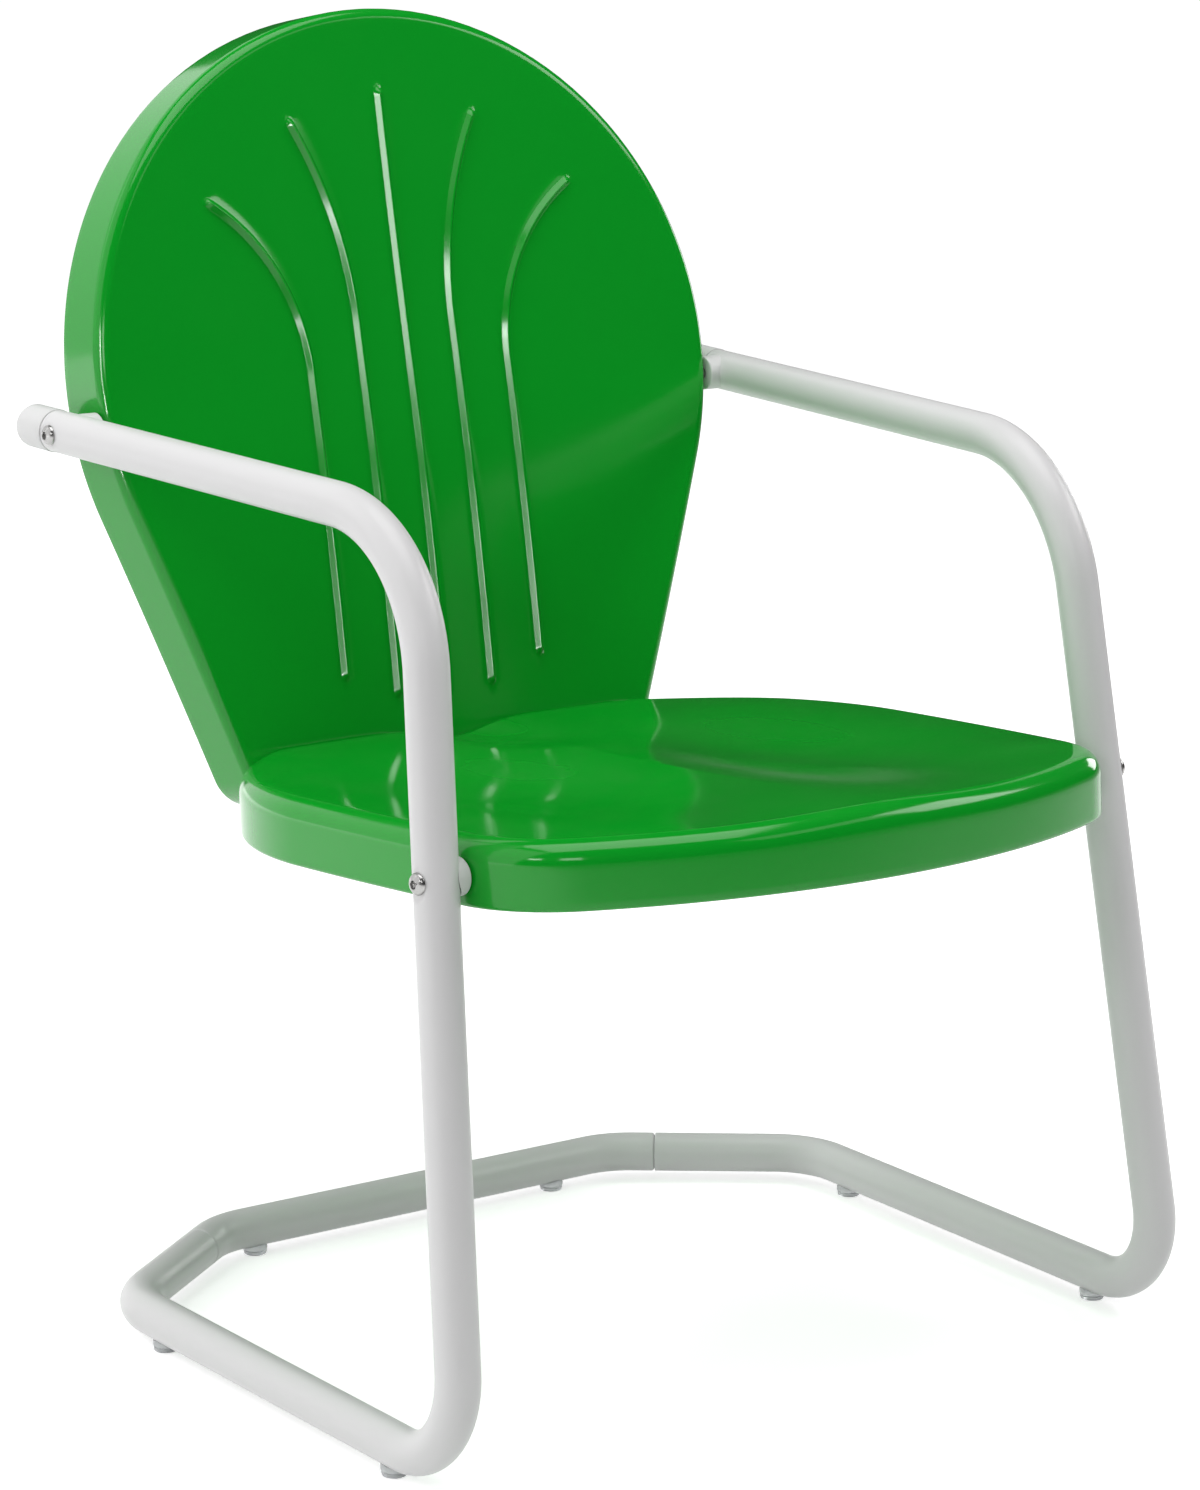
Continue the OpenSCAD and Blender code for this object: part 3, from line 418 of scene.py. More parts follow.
@dataclass(frozen=True)
class Enamel(Finish):
    """Powder-coat enamel on steel."""

    worn: Colour
    dusty: Colour
    edges: tuple[float, float, float] = (140.0, 0.55, 0.66)
    dust: float = 0.035
    specular: float = 0.4

    def dress(self, paint: Paint, effects: Effects) -> dict[str, object]:
        """Returns the colour, rubbed and dusty, and the shine."""
        rubbed = paint.mixed(paint.wear(effects, self.edges), self.colour, self.worn)
        return {"Base Color": paint.mixed(paint.dust(effects, self.dust), rubbed, self.dusty),
                "Specular IOR Level": self.specular}


@dataclass(frozen=True)
class Moulded(Finish):
    """Moulded plastic with a fine spark-eroded grain, solid or clear."""

    grain: tuple[float, float, float] = (260.0, 2600.0, 0.75)
    clearness: float = 0.0
    dust: float = 0.05
    dusty: float = 0.82
    index: float = 1.49

    def dress(self, paint: Paint, effects: Effects) -> dict[str, object]:
        """Returns the dusty colour and how clear the plastic is."""
        colour = paint.mixed(paint.dust(effects, self.dust), self.colour, self.shade(self.dusty))
        return {"Base Color": colour, "Transmission Weight": self.clearness, "IOR": self.index}


@dataclass(frozen=True)
class BrightSteel(Finish):
    """Turned or plated steel with fine tool marks."""

    grain: tuple[float, float, float] = (420.0, 3800.0, 0.6)
    edges: tuple[float, float, float] = (500.0, 0.5, 0.62)
    worn: float = 0.72

    def dress(self, paint: Paint, effects: Effects) -> dict[str, object]:
        """Returns the colour of metal, duller at its edges."""
        wear = paint.wear(effects, self.edges)
        return {"Base Color": paint.mixed(wear, self.colour, self.shade(self.worn)),
                "Metallic": 1.0}


FINISHES: dict[Slot, Finish] = {
    Slot.GREEN: Enamel("green enamel", (0.003, 0.33, 0.018), (0.1, 0.15), 1.2e-5,
                       (70.0, 700.0, 0.2), (0.01, 0.2, 0.02), (0.25, 0.36, 0.24)),
    Slot.WHITE: Enamel("white enamel", (0.7, 0.695, 0.7), (0.3, 0.38), 2e-5,
                       (70.0, 700.0, 0.4), (0.6, 0.6, 0.6), (0.66, 0.65, 0.63)),
    Slot.PLASTIC: Moulded("white plastic", (0.7, 0.7, 0.7), (0.38, 0.5), 3e-5),
    Slot.CLEAR: Moulded("clear plastic", (0.72, 0.74, 0.75), (0.18, 0.3), 3e-5, clearness=0.55),
    Slot.SCREW: BrightSteel("bright screw steel", (0.42, 0.415, 0.41), (0.2, 0.32), 2e-5),
    Slot.ZINC: BrightSteel("zinc plate", (0.55, 0.56, 0.58), (0.3, 0.45), 3e-5),
}
Materials = dict[Slot, Material]


class TreeMaker(Group):
    """Builds a geometry node tree with named inputs, and bakes it on an object."""

    def __init__(self, name: str, inputs: dict[str, tuple[str, object]]) -> None:
        """Starts a tree with these inputs besides geometry and finish."""
        super().__init__(name, "GeometryNodeTree", {
            "Geometry": ("Geometry", None), **inputs, "Finish": ("Material", None)},
            {"Geometry": "Geometry"})

    def named(self, name: str, kind: str) -> Socket:
        """Returns the values of a point attribute of a kind."""
        return self.add("GeometryNodeInputNamedAttribute", {"Name": name},
                        data_type=kind).outputs["Attribute"]

    def close(self, geometry: Socket) -> "TreeMaker":
        """Ends the tree in real geometry with its material.

        Args:
            geometry: the socket that gives the geometry.

        Returns:
            The tree's maker.
        """
        real = self.add("GeometryNodeRealizeInstances", {"Geometry": geometry})
        dressed = self.add("GeometryNodeSetMaterial", {
            "Geometry": real.outputs["Geometry"], "Material": self.given["Finish"]})
        self.feed(self.outlet, {"Geometry": dressed.outputs["Geometry"]})
        return self

    def bake(self, name: str, start: bpy.types.Mesh, values: dict[str, object]) -> Piece:
        """Runs the tree on a mesh and keeps the result as a plain mesh object.

        Args:
            name: the piece's name.
            start: the mesh that goes into the tree.
            values: the values of the tree's inputs.

        Returns:
            The finished object.
        """
        piece = bpy.data.objects.new(name, start)
        bpy.context.scene.collection.objects.link(piece)
        modifier = piece.modifiers.new("build", "NODES")
        modifier.node_group = self.tree
        for key, value in values.items():
            modifier[self.keys[key]] = value
        bpy.context.view_layer.update()
        result = bpy.data.meshes.new_from_object(
            piece.evaluated_get(bpy.context.evaluated_depsgraph_get()))
        piece.modifiers.remove(modifier)
        piece.data = result
        result.name = name
        bpy.data.meshes.remove(start)
        return piece


def point_mesh(name: str, points: list[Array], values: dict[str, list],
               joined: bool = False) -> bpy.types.Mesh:
    """Makes a mesh of bare points, or of points joined in a line.

    Args:
        name: the mesh's name.
        points: the points.
        values: a number or a direction for each point, by attribute name.
        joined: whether each point is joined to the next.

    Returns:
        The mesh.
    """
    mesh = bpy.data.meshes.new(name)
    edges = [(i, i + 1) for i in range(len(points) - 1)] if joined else []
    mesh.from_pydata([tuple(p) for p in points], edges, [])
    for key, rows in values.items():
        table = np.array(rows, float)
        kind, part = (("FLOAT_VECTOR", "vector") if table.ndim == 2 else ("FLOAT", "value"))
        mesh.attributes.new(key, kind, "POINT").data.foreach_set(part, table.ravel())
    return mesh


def bent_tube_tree() -> TreeMaker:
    """Tree that sweeps a round tube along a line of points.

    Each point's attribute "bend" is the centreline radius of the bend there, and "girth" is the
    tube's share of its full radius there.

    Returns:
        The tree.
    """
    maker = TreeMaker("bent tube", {
        "Tube radius": ("Float", 0.0143), "Bend steps": ("Int", 40), "Sides": ("Int", 96)})
    given = maker.given
    line = maker.add("GeometryNodeMeshToCurve", {"Mesh": given["Geometry"]})
    bent = maker.add("GeometryNodeFilletCurve", {
        "Curve": line.outputs["Curve"], "Count": given["Bend steps"],
        "Radius": maker.named("bend", "FLOAT")}, mode="POLY")
    ring = maker.add("GeometryNodeCurvePrimitiveCircle", {
        "Resolution": given["Sides"], "Radius": given["Tube radius"]})
    sweep = maker.add("GeometryNodeCurveToMesh", {
        "Curve": bent.outputs["Curve"], "Profile Curve": ring.outputs["Curve"],
        "Scale": maker.named("girth", "FLOAT"), "Fill Caps": True})
    even = maker.add("GeometryNodeSetShadeSmooth", {"Geometry": sweep.outputs["Mesh"]})
    return maker.close(even.outputs["Geometry"])


def set_out_tree() -> TreeMaker:
    """Tree that sets a fastener or foot at each point.

    The pattern piece is drawn along +Z. Each point's attributes "along" and "across" turn its Z
    and its X.

    Returns:
        The tree.
    """
    maker = TreeMaker("set out pieces", {"Pattern": ("Object", None)})
    pattern = maker.add("GeometryNodeObjectInfo", {"Object": maker.given["Pattern"]})
    turn = maker.add("FunctionNodeAxesToRotation", {
        "Primary Axis": maker.named("along", "FLOAT_VECTOR"),
        "Secondary Axis": maker.named("across", "FLOAT_VECTOR")},
        primary_axis="Z", secondary_axis="X")
    placed = maker.add("GeometryNodeInstanceOnPoints", {
        "Points": maker.given["Geometry"], "Instance": pattern.outputs["Geometry"],
        "Rotation": turn.outputs["Rotation"]})
    return maker.close(placed.outputs["Instances"])


@dataclass(frozen=True)
class TubeSizes:
    """Sizes of the bent steel tube, and of the flats that are pressed into it for screws."""

    diameter: float = 28.6 * MM
    floor_bend: float = 57.0 * MM
    arm_bend: float = 105.0 * MM
    rail_height: float = 20.0 * MM
    seam_gap: float = 0.4 * MM
    shoulder: float = 2.4 * MM
    shoulder_steps: int = 9
    neck: float = 12.45 * MM
    neck_ends: tuple[float, float] = (0.02 * MM, 1.5 * MM)
    cut_edge: float = 0.35 * MM
    flat_depth: float = 0.9 * MM
    flat_radius: float = 8.0 * MM
    flat_flare: float = 9.0 * MM
    flat_reach: float = 16.0 * MM
    crease: float = 40.0

    @property
    def radius(self) -> float:
        """The tube's outside radius."""
        return self.diameter / 2.0


@dataclass
class TubeFrame:
    """The two side frames and the rear floor tube; all places are those of the right half."""

    finish: Material
    tree: TreeMaker
    tube: TubeSizes = field(default_factory=TubeSizes)
    arm_end: tuple[float, float, float] = (0.274, 0.237, 0.6025)
    arm_corner: tuple[float, float, float] = (0.2514, -0.1776, 0.5915)
    rail_front: tuple[float, float] = (0.2838, -0.2634)
    rail_rear: tuple[float, float] = (0.2904, 0.138)
    cross_corner: tuple[float, float] = (0.1678, 0.2313)
    seam_from_corner: float = 36.0 * MM
    seat_bolt_height: float = 381.0 * MM
    seat_bolt_turn: float = -5.808
    seat_bolt_zone: float = 15.0 * MM
    arm_bolt_inset: float = 12.0 * MM
    arm_bolt_zone: float = 11.9 * MM
    zone_steps: int = 30

    def __post_init__(self) -> None:
        """Works out the right half's points and directions."""
        height = self.tube.rail_height
        self.end, self.corner = np.array(self.arm_end), np.array(self.arm_corner)
        plans = (self.rail_front, self.rail_rear, self.cross_corner)
        self.front, self.rear, self.cross = (np.array([*plan, height]) for plan in plans)
        self.seam = self.cross + self.seam_from_corner * unit(self.rear - self.cross)
        self.arm_way = unit(self.end - self.corner)
        self.upright = unit(self.corner - self.front)
        self.arm_bolt_at = self.end - self.arm_bolt_inset * self.arm_way
        rise = self.corner - self.front
        self.seat_bolt_at = self.front + rise * (self.seat_bolt_height - height) / rise[2]
        self.seat_bolt_way = np.array([*polar(self.seat_bolt_turn), 0.0])

    def bolt_zone(self, middle: Array, way: Array, half: float) -> list[Array]:
        """Points close together along a way, where the tube wall is pressed flat for a bolt."""
        return [middle + way * t for t in np.linspace(-half, half, self.zone_steps)]

    def press_flat(self, piece: Piece, at: Array, way: Array) -> None:
        """Presses a flat seat for a screw head into the tube's wall.

        Args:
            piece: the tube.
            at: the bolt's place on the tube's axis.
            way: outward direction of the bolt.
        """
        tube, mesh = self.tube, piece.data
        points = np.zeros(len(mesh.vertices) * 3)
        mesh.vertices.foreach_get("co", points)
        points = points.reshape(-1, 3)
        offset = points - at
        height = offset @ way
        reach = np.linalg.norm(offset - np.outer(height, way), axis=1)
        flare = np.square(np.maximum(reach - tube.flat_radius, 0.0)) / tube.flat_flare
        plane = tube.radius - tube.flat_depth + flare
        drop = np.where(reach < tube.flat_reach, np.maximum(height - plane, 0.0), 0.0)
        mesh.vertices.foreach_set("co", (points - np.outer(drop, way)).ravel())
        mesh.update()

    def swept(self, name: str, route: list[Array], bends: list[float],
              girths: list[float]) -> Piece:
        """Sweeps a tube along a route, with each point's bend radius and share of the girth."""
        start = point_mesh("route", route, {"bend": bends, "girth": girths}, joined=True)
        return self.tree.bake(name, start, {"Tube radius": self.tube.radius,
                                            "Finish": self.finish})

    def side_tube(self, side: Side) -> Piece:
        """Builds one side frame.

        Args:
            side: left or right.

        Returns:
            The piece.
        """
        tube = self.tube
        seam_way = unit(self.rear - self.seam)
        seam_end = self.seam + tube.seam_gap * seam_way
        arm_zone = self.bolt_zone(self.arm_bolt_at, -self.arm_way, self.arm_bolt_zone)
        arm_zone[0] = self.end - tube.cut_edge * self.arm_way
        seat_zone = self.bolt_zone(self.seat_bolt_at, -self.upright, self.seat_bolt_zone)
        route = [self.end, *arm_zone, self.corner, *seat_zone, self.front, self.rear,
                 seam_end + tube.cut_edge * seam_way, seam_end]
        bends, girths = [0.0] * len(route), [1.0] * len(route)
        bends[1 + len(arm_zone)] = tube.arm_bend
        bends[-4] = bends[-3] = tube.floor_bend
        girths[0] = girths[-1] = 1.0 - tube.cut_edge / tube.radius
        piece = self.swept(f"{side.name.lower()}_side_tube", [side.put(p) for p in route],
                           bends, girths)
        self.press_flat(piece, side.put(self.arm_bolt_at), side.put(OUTWARD))
        self.press_flat(piece, side.put(self.seat_bolt_at), side.put(self.seat_bolt_way))
        return piece

    def rear_tube(self) -> Piece:
        """Builds the rear floor tube with its rounded shoulders and necked ends.

        Returns:
            The piece.
        """
        full, shoulder = self.tube.radius, self.tube.shoulder
        outward = unit(self.rear - self.seam)
        half, girths = [self.cross], [1.0]
        for a in np.linspace(0.0, math.pi / 2.0, self.tube.shoulder_steps):
            half.append(self.seam + outward * shoulder * (math.sin(a) - 1.0))
            girths.append((full - shoulder + shoulder * math.cos(a)) / full)
        for reach in self.tube.neck_ends:
            half.append(self.seam + outward * reach)
            girths.append(self.tube.neck / full)
        bends = [self.tube.floor_bend] + [0.0] * (len(half) - 1)
        return self.swept("rear_floor_tube", [Side.LEFT.put(p) for p in half[::-1]] + half,
                          bends[::-1] + bends, girths[::-1] + girths)

    def build(self) -> None:
        """Builds and seats all three tubes."""
        for piece, node in ((self.side_tube(Side.LEFT), "left_side_frame"),
                            (self.side_tube(Side.RIGHT), "right_side_frame"),
                            (self.rear_tube(), "rear_cross_tube")):
            seat_piece(keep_creases(piece, self.tube.crease), Slot.WHITE.value, node)


def shell_faces(rings: int, count: int, bored: bool = False) -> Faces:
    """Faces of a closed body made of rings, each joined to the next one.

    Args:
        rings: how many rings.
        count: points in each ring.
        bored: whether the last ring joins the first. Otherwise each end is closed by a point,
            and these two points follow those of the rings.

    Returns:
        The faces.
    """
    last, ends = (rings - 1) * count, rings * count
    pairs = [(i, (i + 1) % count) for i in range(count)]
    faces = [(k + j, k + count + j, k + count + i, k + i)
             for k in range(0, last, count) for i, j in pairs]
    if bored:
        return faces + [(last + i, last + j, j, i) for i, j in pairs]
    return (faces + [(ends, j, i) for i, j in pairs]
            + [(ends + 1, last + i, last + j) for i, j in pairs])


@dataclass
class PressedEdge:
    """Profile of a pressed pan's border in millimetres: rolled edge, skirt and turned-in hem."""

    sheet: float = 1.2
    hem: float = 3.0
    lip: float = 5.0
    roll_steps: int = 16
    skirt_steps: int = 7
    hem_steps: int = 8

    def profile(self, roll: float, drop: float, lean: float, t: float) -> list[tuple[float, float]]:
        """Outside or inside of the border, from the rolled edge down.

        Args:
            roll: radius of the rolled edge.
            drop: depth of the pan.
            lean: how far the skirt's foot stands in.
            t: 0 for the outside, the sheet's thickness for the inside.

        Returns:
            Inset and height of each point.
        """
        pairs = []
        for a in np.linspace(math.pi / 2.0, 0.0, self.roll_steps + 1):
            pairs.append((roll - (roll - t) * math.cos(a), -roll + (roll - t) * math.sin(a)))
        foot = -drop + self.hem
        for q in np.linspace(0.0, 1.0, self.skirt_steps + 2)[1:-1]:
            pairs.append((t + lean * q, -roll + (foot + roll) * q))
        for a in np.linspace(0.0, -math.pi / 2.0, self.hem_steps + 1):
            pairs.append((self.hem - (self.hem - t) * math.cos(a) + lean,
                          foot + (self.hem - t) * math.sin(a)))
        pairs.append((self.hem + self.lip + lean, -drop + t))
        return pairs


@dataclass
class SeatPan:
    """The pressed seat, from the same sizes in millimetres as its solid."""

    finish: Material
    edge: PressedEdge = field(default_factory=PressedEdge)
    height: float = 396.0
    ahead: float = 66.0
    tilt: float = 3.4
    half_width: float = 250.7
    wide_y: float = 46.0
    front: float = 257.3
    rear: float = 249.0
    front_r: float = 431.0
    corner_r: float = 86.0
    side_r: float = 2630.0
    flank_r: float = 251.0
    rear_corner_r: float = 56.0
    rear_r: float = 1970.0
    steps: tuple[int, ...] = (30, 18, 44, 26, 34, 40)
    skirt: float = 42.8
    roll: float = 14.5
    rear_roll: float = 11.0
    rear_lean: float = 3.4
    hollow: float = 11.0
    hollow_x: float = 108.0
    hollow_y: float = 5.0
    hollow_size: tuple[float, float] = (78.0, 150.0)
    hollow_edge: int = 5
    groove: float = 9.0
    groove_w: float = 30.0
    groove_y: float = 90.0
    groove_gain: float = 1.25
    pommel: float = 3.5
    pommel_w: float = 75.0
    pommel_y: float = 60.0
    rear_fall: float = 2.0
    fall_y: float = 140.0
    crease: float = 50.0

    def touch_angle(self, c: Array, r: float, e: Array, q: float, k: float, hand: int) -> float:
        """Angle on one arc at which a corner arc that also touches another arc meets it.

        Args:
            c: centre of the first arc.
            r: its radius.
            e: centre of the second arc.
            q: its radius.
            k: the corner's radius.
            hand: 1 or -1, which of the two answers.

        Returns:
            The angle in degrees.
        """
        d = c - e
        m, n = r - k, q - k
        want = (n * n - m * m - d @ d) / (2.0 * m)
        return math.degrees(math.atan2(d[1], d[0])) + hand * math.degrees(
            math.acos(want / np.linalg.norm(d)))

    def stations(self) -> Array:
        """Outline of the seat as rows of place and outward direction.

        Returns:
            Rows of x, y, outward x and outward y, anticlockwise from the rear middle.
        """
        flank = np.array([self.half_width - self.flank_r, self.wide_y])
        side = np.array([self.half_width - self.side_r, self.wide_y])
        back = np.array([0.0, self.rear - self.rear_r])
        ahead = np.array([0.0, self.front_r - self.front])
        rear_a = self.touch_angle(flank, self.flank_r, back, self.rear_r, self.rear_corner_r, -1)
        front_a = self.touch_angle(side, self.side_r, ahead, self.front_r, self.corner_r, 1)
        rear_c = flank + polar(rear_a, self.flank_r - self.rear_corner_r)
        front_c = side + polar(front_a, self.side_r - self.corner_r)
        rear_end = math.degrees(math.atan2(*(rear_c - back)[::-1]))
        front_end = math.degrees(math.atan2(*(front_c - ahead)[::-1]))
        arcs = [(back, self.rear_r, 90.0, rear_end), (rear_c, self.rear_corner_r, rear_end, rear_a),
                (flank, self.flank_r, rear_a, 0.0), (side, self.side_r, 0.0, front_a),
                (front_c, self.corner_r, front_a, front_end),
                (ahead, self.front_r, front_end, -90.0)]
        half = []
        for (c, r, a, b), count in zip(arcs, self.steps):
            for way in (polar(t) for t in np.linspace(a, b, count, endpoint=False)):
                half.append((*(c + r * way), *way))
        other = [(-x, y, -u, v) for x, y, u, v in half[:0:-1]]
        return np.array(half + [(0.0, -self.front, 0.0, -1.0)] + other)

    def rim(self, x: Array, y: Array) -> Array:
        """Height of the pommel, groove and falling rear over the rim plane.

        Args:
            x: places across the seat.
            y: places along it.

        Returns:
            The heights.
        """
        ahead = smooth((-y - self.pommel_y) / (self.front - self.pommel_y))
        behind = smooth((y - self.groove_y) / (self.rear - self.groove_y) * self.groove_gain)
        fall = self.rear_fall * smooth((y - self.fall_y) / (self.rear - self.fall_y))
        return (self.pommel * bell(x / self.pommel_w) * ahead
                - self.groove * bell(x / self.groove_w) * behind - fall)

    def hollows(self, x: Array, y: Array, f: float) -> Array:
        """Depth of the two hollows at a point that lies at the share f of the way out."""
        wide, long = self.hollow_size
        across = bell((np.abs(x) - self.hollow_x) / wide)
        return (-self.hollow * across * bell((y - self.hollow_y) / long)
                * (1.0 - f ** self.hollow_edge))

    def skin(self, t: float) -> list[Array]:
        """One side of the sheet as rings of points, from the middle out and down.

        Args:
            t: 0 for the outside, the sheet's thickness for the inside.

        Returns:
            The rings, in the seat's own frame and in millimetres.
        """
        x0, y0, out_x, out_y = self.stations().T
        rear = smooth((out_y - 0.75) / 0.25)
        roll = self.roll + (self.rear_roll - self.roll) * rear
        rings = []
        for f in np.concatenate([np.linspace(0.03, 0.9, 40), np.linspace(0.92, 0.99, 6)]):
            x, y = f * (x0 - roll * out_x), f * (y0 - roll * out_y)
            z = self.rim(f * x0, f * y0) + self.hollows(x, y, f) - t
            rings.append(np.stack([x, y, z], axis=1))
        lean = self.skirt * math.tan(math.radians(self.rear_lean))
        table = np.array([self.edge.profile(r, self.skirt, lean * q, t)
                          for r, q in zip(roll, rear)])
        for inset, depth in table.transpose(1, 2, 0):
            fade = smooth(1.0 + depth / (self.skirt - self.edge.hem))
            rings.append(np.stack([x0 - inset * out_x, y0 - inset * out_y,
                                   depth + fade * self.rim(x0, y0)], axis=1))
        return rings

    def placed(self, points: Array) -> Array:
        """Moves points from the seat's own frame to the chair's, in metres."""
        turn = Matrix.Rotation(math.radians(-self.tilt), 3, "X")
        return (points @ np.array(turn).T + np.array([0.0, -self.ahead, self.height])) * MM

    def build(self) -> None:
        """Builds and seats the pan."""
        sheet = self.edge.sheet
        rings = self.skin(0.0) + self.skin(sheet)[::-1]
        middle = self.rim(0.0, 0.0) + self.hollows(0.0, 0.0, 0.0)
        ends = np.array([[0.0, 0.0, middle], [0.0, 0.0, middle - sheet]])
        piece = mesh_piece("seat_pan", self.placed(np.concatenate(rings + [ends])),
                           shell_faces(len(rings), len(rings[0])), self.finish)
        seat_piece(keep_creases(piece, self.crease), Slot.GREEN.value, "seat_shell")


@dataclass(frozen=True)
class Rib:
    """Line of a right-hand rib: up from its foot, then outwards on an arc at its bend."""

    u: float
    foot: float
    bend: float
    radius: float = 1.0
    turn: float = 0.0

    @property
    def length(self) -> float:
        """Length of the rib."""
        return self.bend - self.foot + self.radius * math.radians(self.turn)

    def at(self, t: float) -> tuple[float, float, float]:
        """Place at a share of the length.

        Args:
            t: the share.

        Returns:
            u, v and the heading in degrees from upright.
        """
        way = t * self.length
        bent = max(0.0, way - (self.bend - self.foot))
        a = bent / self.radius
        return (self.u + self.radius * (1.0 - math.cos(a)),
                self.foot + way - bent + self.radius * math.sin(a), math.degrees(a))


@dataclass
class BackPan:
    """The pressed round-topped back, from the same sizes in millimetres as its solid.

    Across the back runs u, up along it v, and out of its face w. A station of its edge is the
    centre, radius and angle of an arc.
    """

    finish: Material
    edge: PressedEdge = field(default_factory=PressedEdge)
    z: float = 600.0
    y: float = 213.0
    lean: float = 11.0
    top_r: float = 250.0
    top_v: float = 30.4
    taper: float = 19.9
    drop: float = 262.0
    corner_r: float = 30.0
    corner_share: float = 0.16
    taper_share: float = 0.3
    split: float = 26.0
    roll: float = 8.4
    flange: float = 48.8
    draft: float = 2.4
    dish_top: float = 11.0
    dish_low: float = 7.0
    dish_half: float = 200.0
    bow: float = 5.5
    bow_length: float = 200.0
    rib_h: float = 3.6
    rib_w: float = 8.0
    rib_crown: float = 0.5
    rib_fillet: float = 0.6
    rib_step: float = 0.06
    rib_fade: float = 0.8
    ribs: tuple[Rib, ...] = (Rib(0.0, -207.0, 226.0), Rib(39.2, -202.0, 62.0, 296.0, 29.2),
                             Rib(81.3, -185.6, 30.0, 143.5, 59.0))
    rib_columns: tuple[float, ...] = (0.0, 0.2, 0.4, 0.6, 0.9, 1.7, 2.6, 3.2, 3.4, 3.6, 4.0)
    low_share: float = 2.0 / 19.0
    rib_share: float = 16.0 / 19.0
    crease: float = 50.0

    def __post_init__(self) -> None:
        """Works out the places where taper, corner and round top meet."""
        t = math.radians(self.taper)
        self.taper_v = self.top_v - self.top_r * math.sin(t)
        self.taper_u = self.top_r * math.cos(t)
        low = -self.drop + self.corner_r
        self.corner = np.array([
            self.taper_u - (self.taper_v - low) * math.tan(t) - self.corner_r / math.cos(t), low])
        self.side_start = self.corner + polar(-self.taper, self.corner_r)
        self.corner_mid = (-90.0 - self.taper) / 2.0

    def half_width(self, v: Array) -> Array:
        """Half the pan's width at the height v along the back."""
        high = np.sqrt(np.maximum(self.top_r ** 2 - (v - self.top_v) ** 2, 1.0))
        low = self.taper_u - (self.taper_v - v) * math.tan(math.radians(self.taper))
        return np.where(v > self.top_v, self.top_r, np.where(v > self.taper_v, high, low))

    def face_w(self, u: Array, v: Array) -> Array:
        """How far the dished and bowed face lies in front of the flat plane of the back.

        Args:
            u: places across the back.
            v: places up along it.

        Returns:
            The distances.
        """
        share = smooth((v + self.dish_half) / (2.0 * self.dish_half))
        depth = self.dish_low + (self.dish_top - self.dish_low) * share
        above = np.maximum(0.0, v - self.top_v) / self.top_r
        inside = np.maximum(0.0, 1.0 - np.square(u / self.half_width(v)) - np.square(above))
        return -self.bow * np.square(v / self.bow_length) - depth * inside

    def rib_line(self, rib: Rib, zone: str, t: float) -> tuple[float, float, float]:
        """Line of a rib, carried on below its foot and above its top.

        Args:
            rib: the rib.
            zone: low, rib or top.
            t: share of the zone.

        Returns:
            u, v and the heading in degrees from upright.
        """
        if zone == "rib":
            return rib.at(t)
        if zone == "low":
            return rib.u, (-self.drop + self.roll) * (1.0 - t) + rib.foot * t, 0.0
        u, v, a = rib.at(1.0)
        e = self.on_top_edge(np.array([u, v]))
        return u * (1.0 - t) + e[0] * t, v * (1.0 - t) + e[1] * t, a

    def rib_rise(self, rib: Rib, t: float, offset: float) -> float:
        """Height of a rib: narrow rounded crest, plane flanks and a low filleted foot.

        Args:
            rib: the rib.
            t: share of its length.
            offset: distance from its crest line.

        Returns:
            The height over the face.
        """
        x, crown = abs(offset), self.rib_crown
        run = self.rib_w / 2.0 - self.rib_fillet
        if x < run:
            fall = 0.5 * x * x / crown if x < crown else x - 0.5 * crown
            rise = self.rib_step + (1.0 - self.rib_step) * (1.0 - fall / (run - 0.5 * crown))
        else:
            rise = self.rib_step * (1.0 - float(smooth((x - run) / self.rib_fillet)))
        ends = min(t, 1.0 - t) * rib.length
        return self.rib_h * rise * float(smooth(ends / (self.rib_w * self.rib_fade)))

    def edge_station(self, t: float) -> Station:
        """Station of the right edge.

        Args:
            t: share of its length, 0 at the lower corner's middle and 1 near the top.

        Returns:
            The station.
        """
        if t < self.corner_share:
            a = self.corner_mid + (-self.taper - self.corner_mid) * t / self.corner_share
            return *self.corner, self.corner_r, a
        if t < self.taper_share:
            q = (t - self.corner_share) / (self.taper_share - self.corner_share)
            p = self.side_start + q * (np.array([self.taper_u, self.taper_v]) - self.side_start)
            return *(p - polar(-self.taper, self.corner_r)), self.corner_r, -self.taper
        q = (t - self.taper_share) / (1.0 - self.taper_share)
        return 0.0, self.top_v, self.top_r, -self.taper + (self.split + self.taper) * q

    def low_station(self, u: float) -> Station:
        """Station of the lower edge above which a place lies.

        Args:
            u: the place across the back.

        Returns:
            The station.
        """
        flat = self.corner[0]
        if abs(u) <= flat:
            return u, -self.drop + self.corner_r, self.corner_r, -90.0
        end = self.station_out(self.edge_station(0.0), self.roll)[0]
        a = -90.0 + (self.corner_mid + 90.0) * (abs(u) - flat) / (end - flat)
        return math.copysign(flat, u), self.corner[1], self.corner_r, a if u > 0 else -180.0 - a

    def flipped(self, s: Station) -> Station:
        """The same station on the other half."""
        return -s[0], s[1], s[2], 180.0 - s[3]

    def station_out(self, s: Station, inset: float) -> Array:
        """Point of an edge station, drawn in by inset."""
        return np.array(s[:2]) + polar(s[3], s[2] - inset)

    def on_top_edge(self, p: Array) -> Array:
        """Point of the round top's inner edge straight out from p."""
        middle = np.array([0.0, self.top_v])
        return middle + (self.top_r - self.roll) * unit(np.asarray(p) - middle)

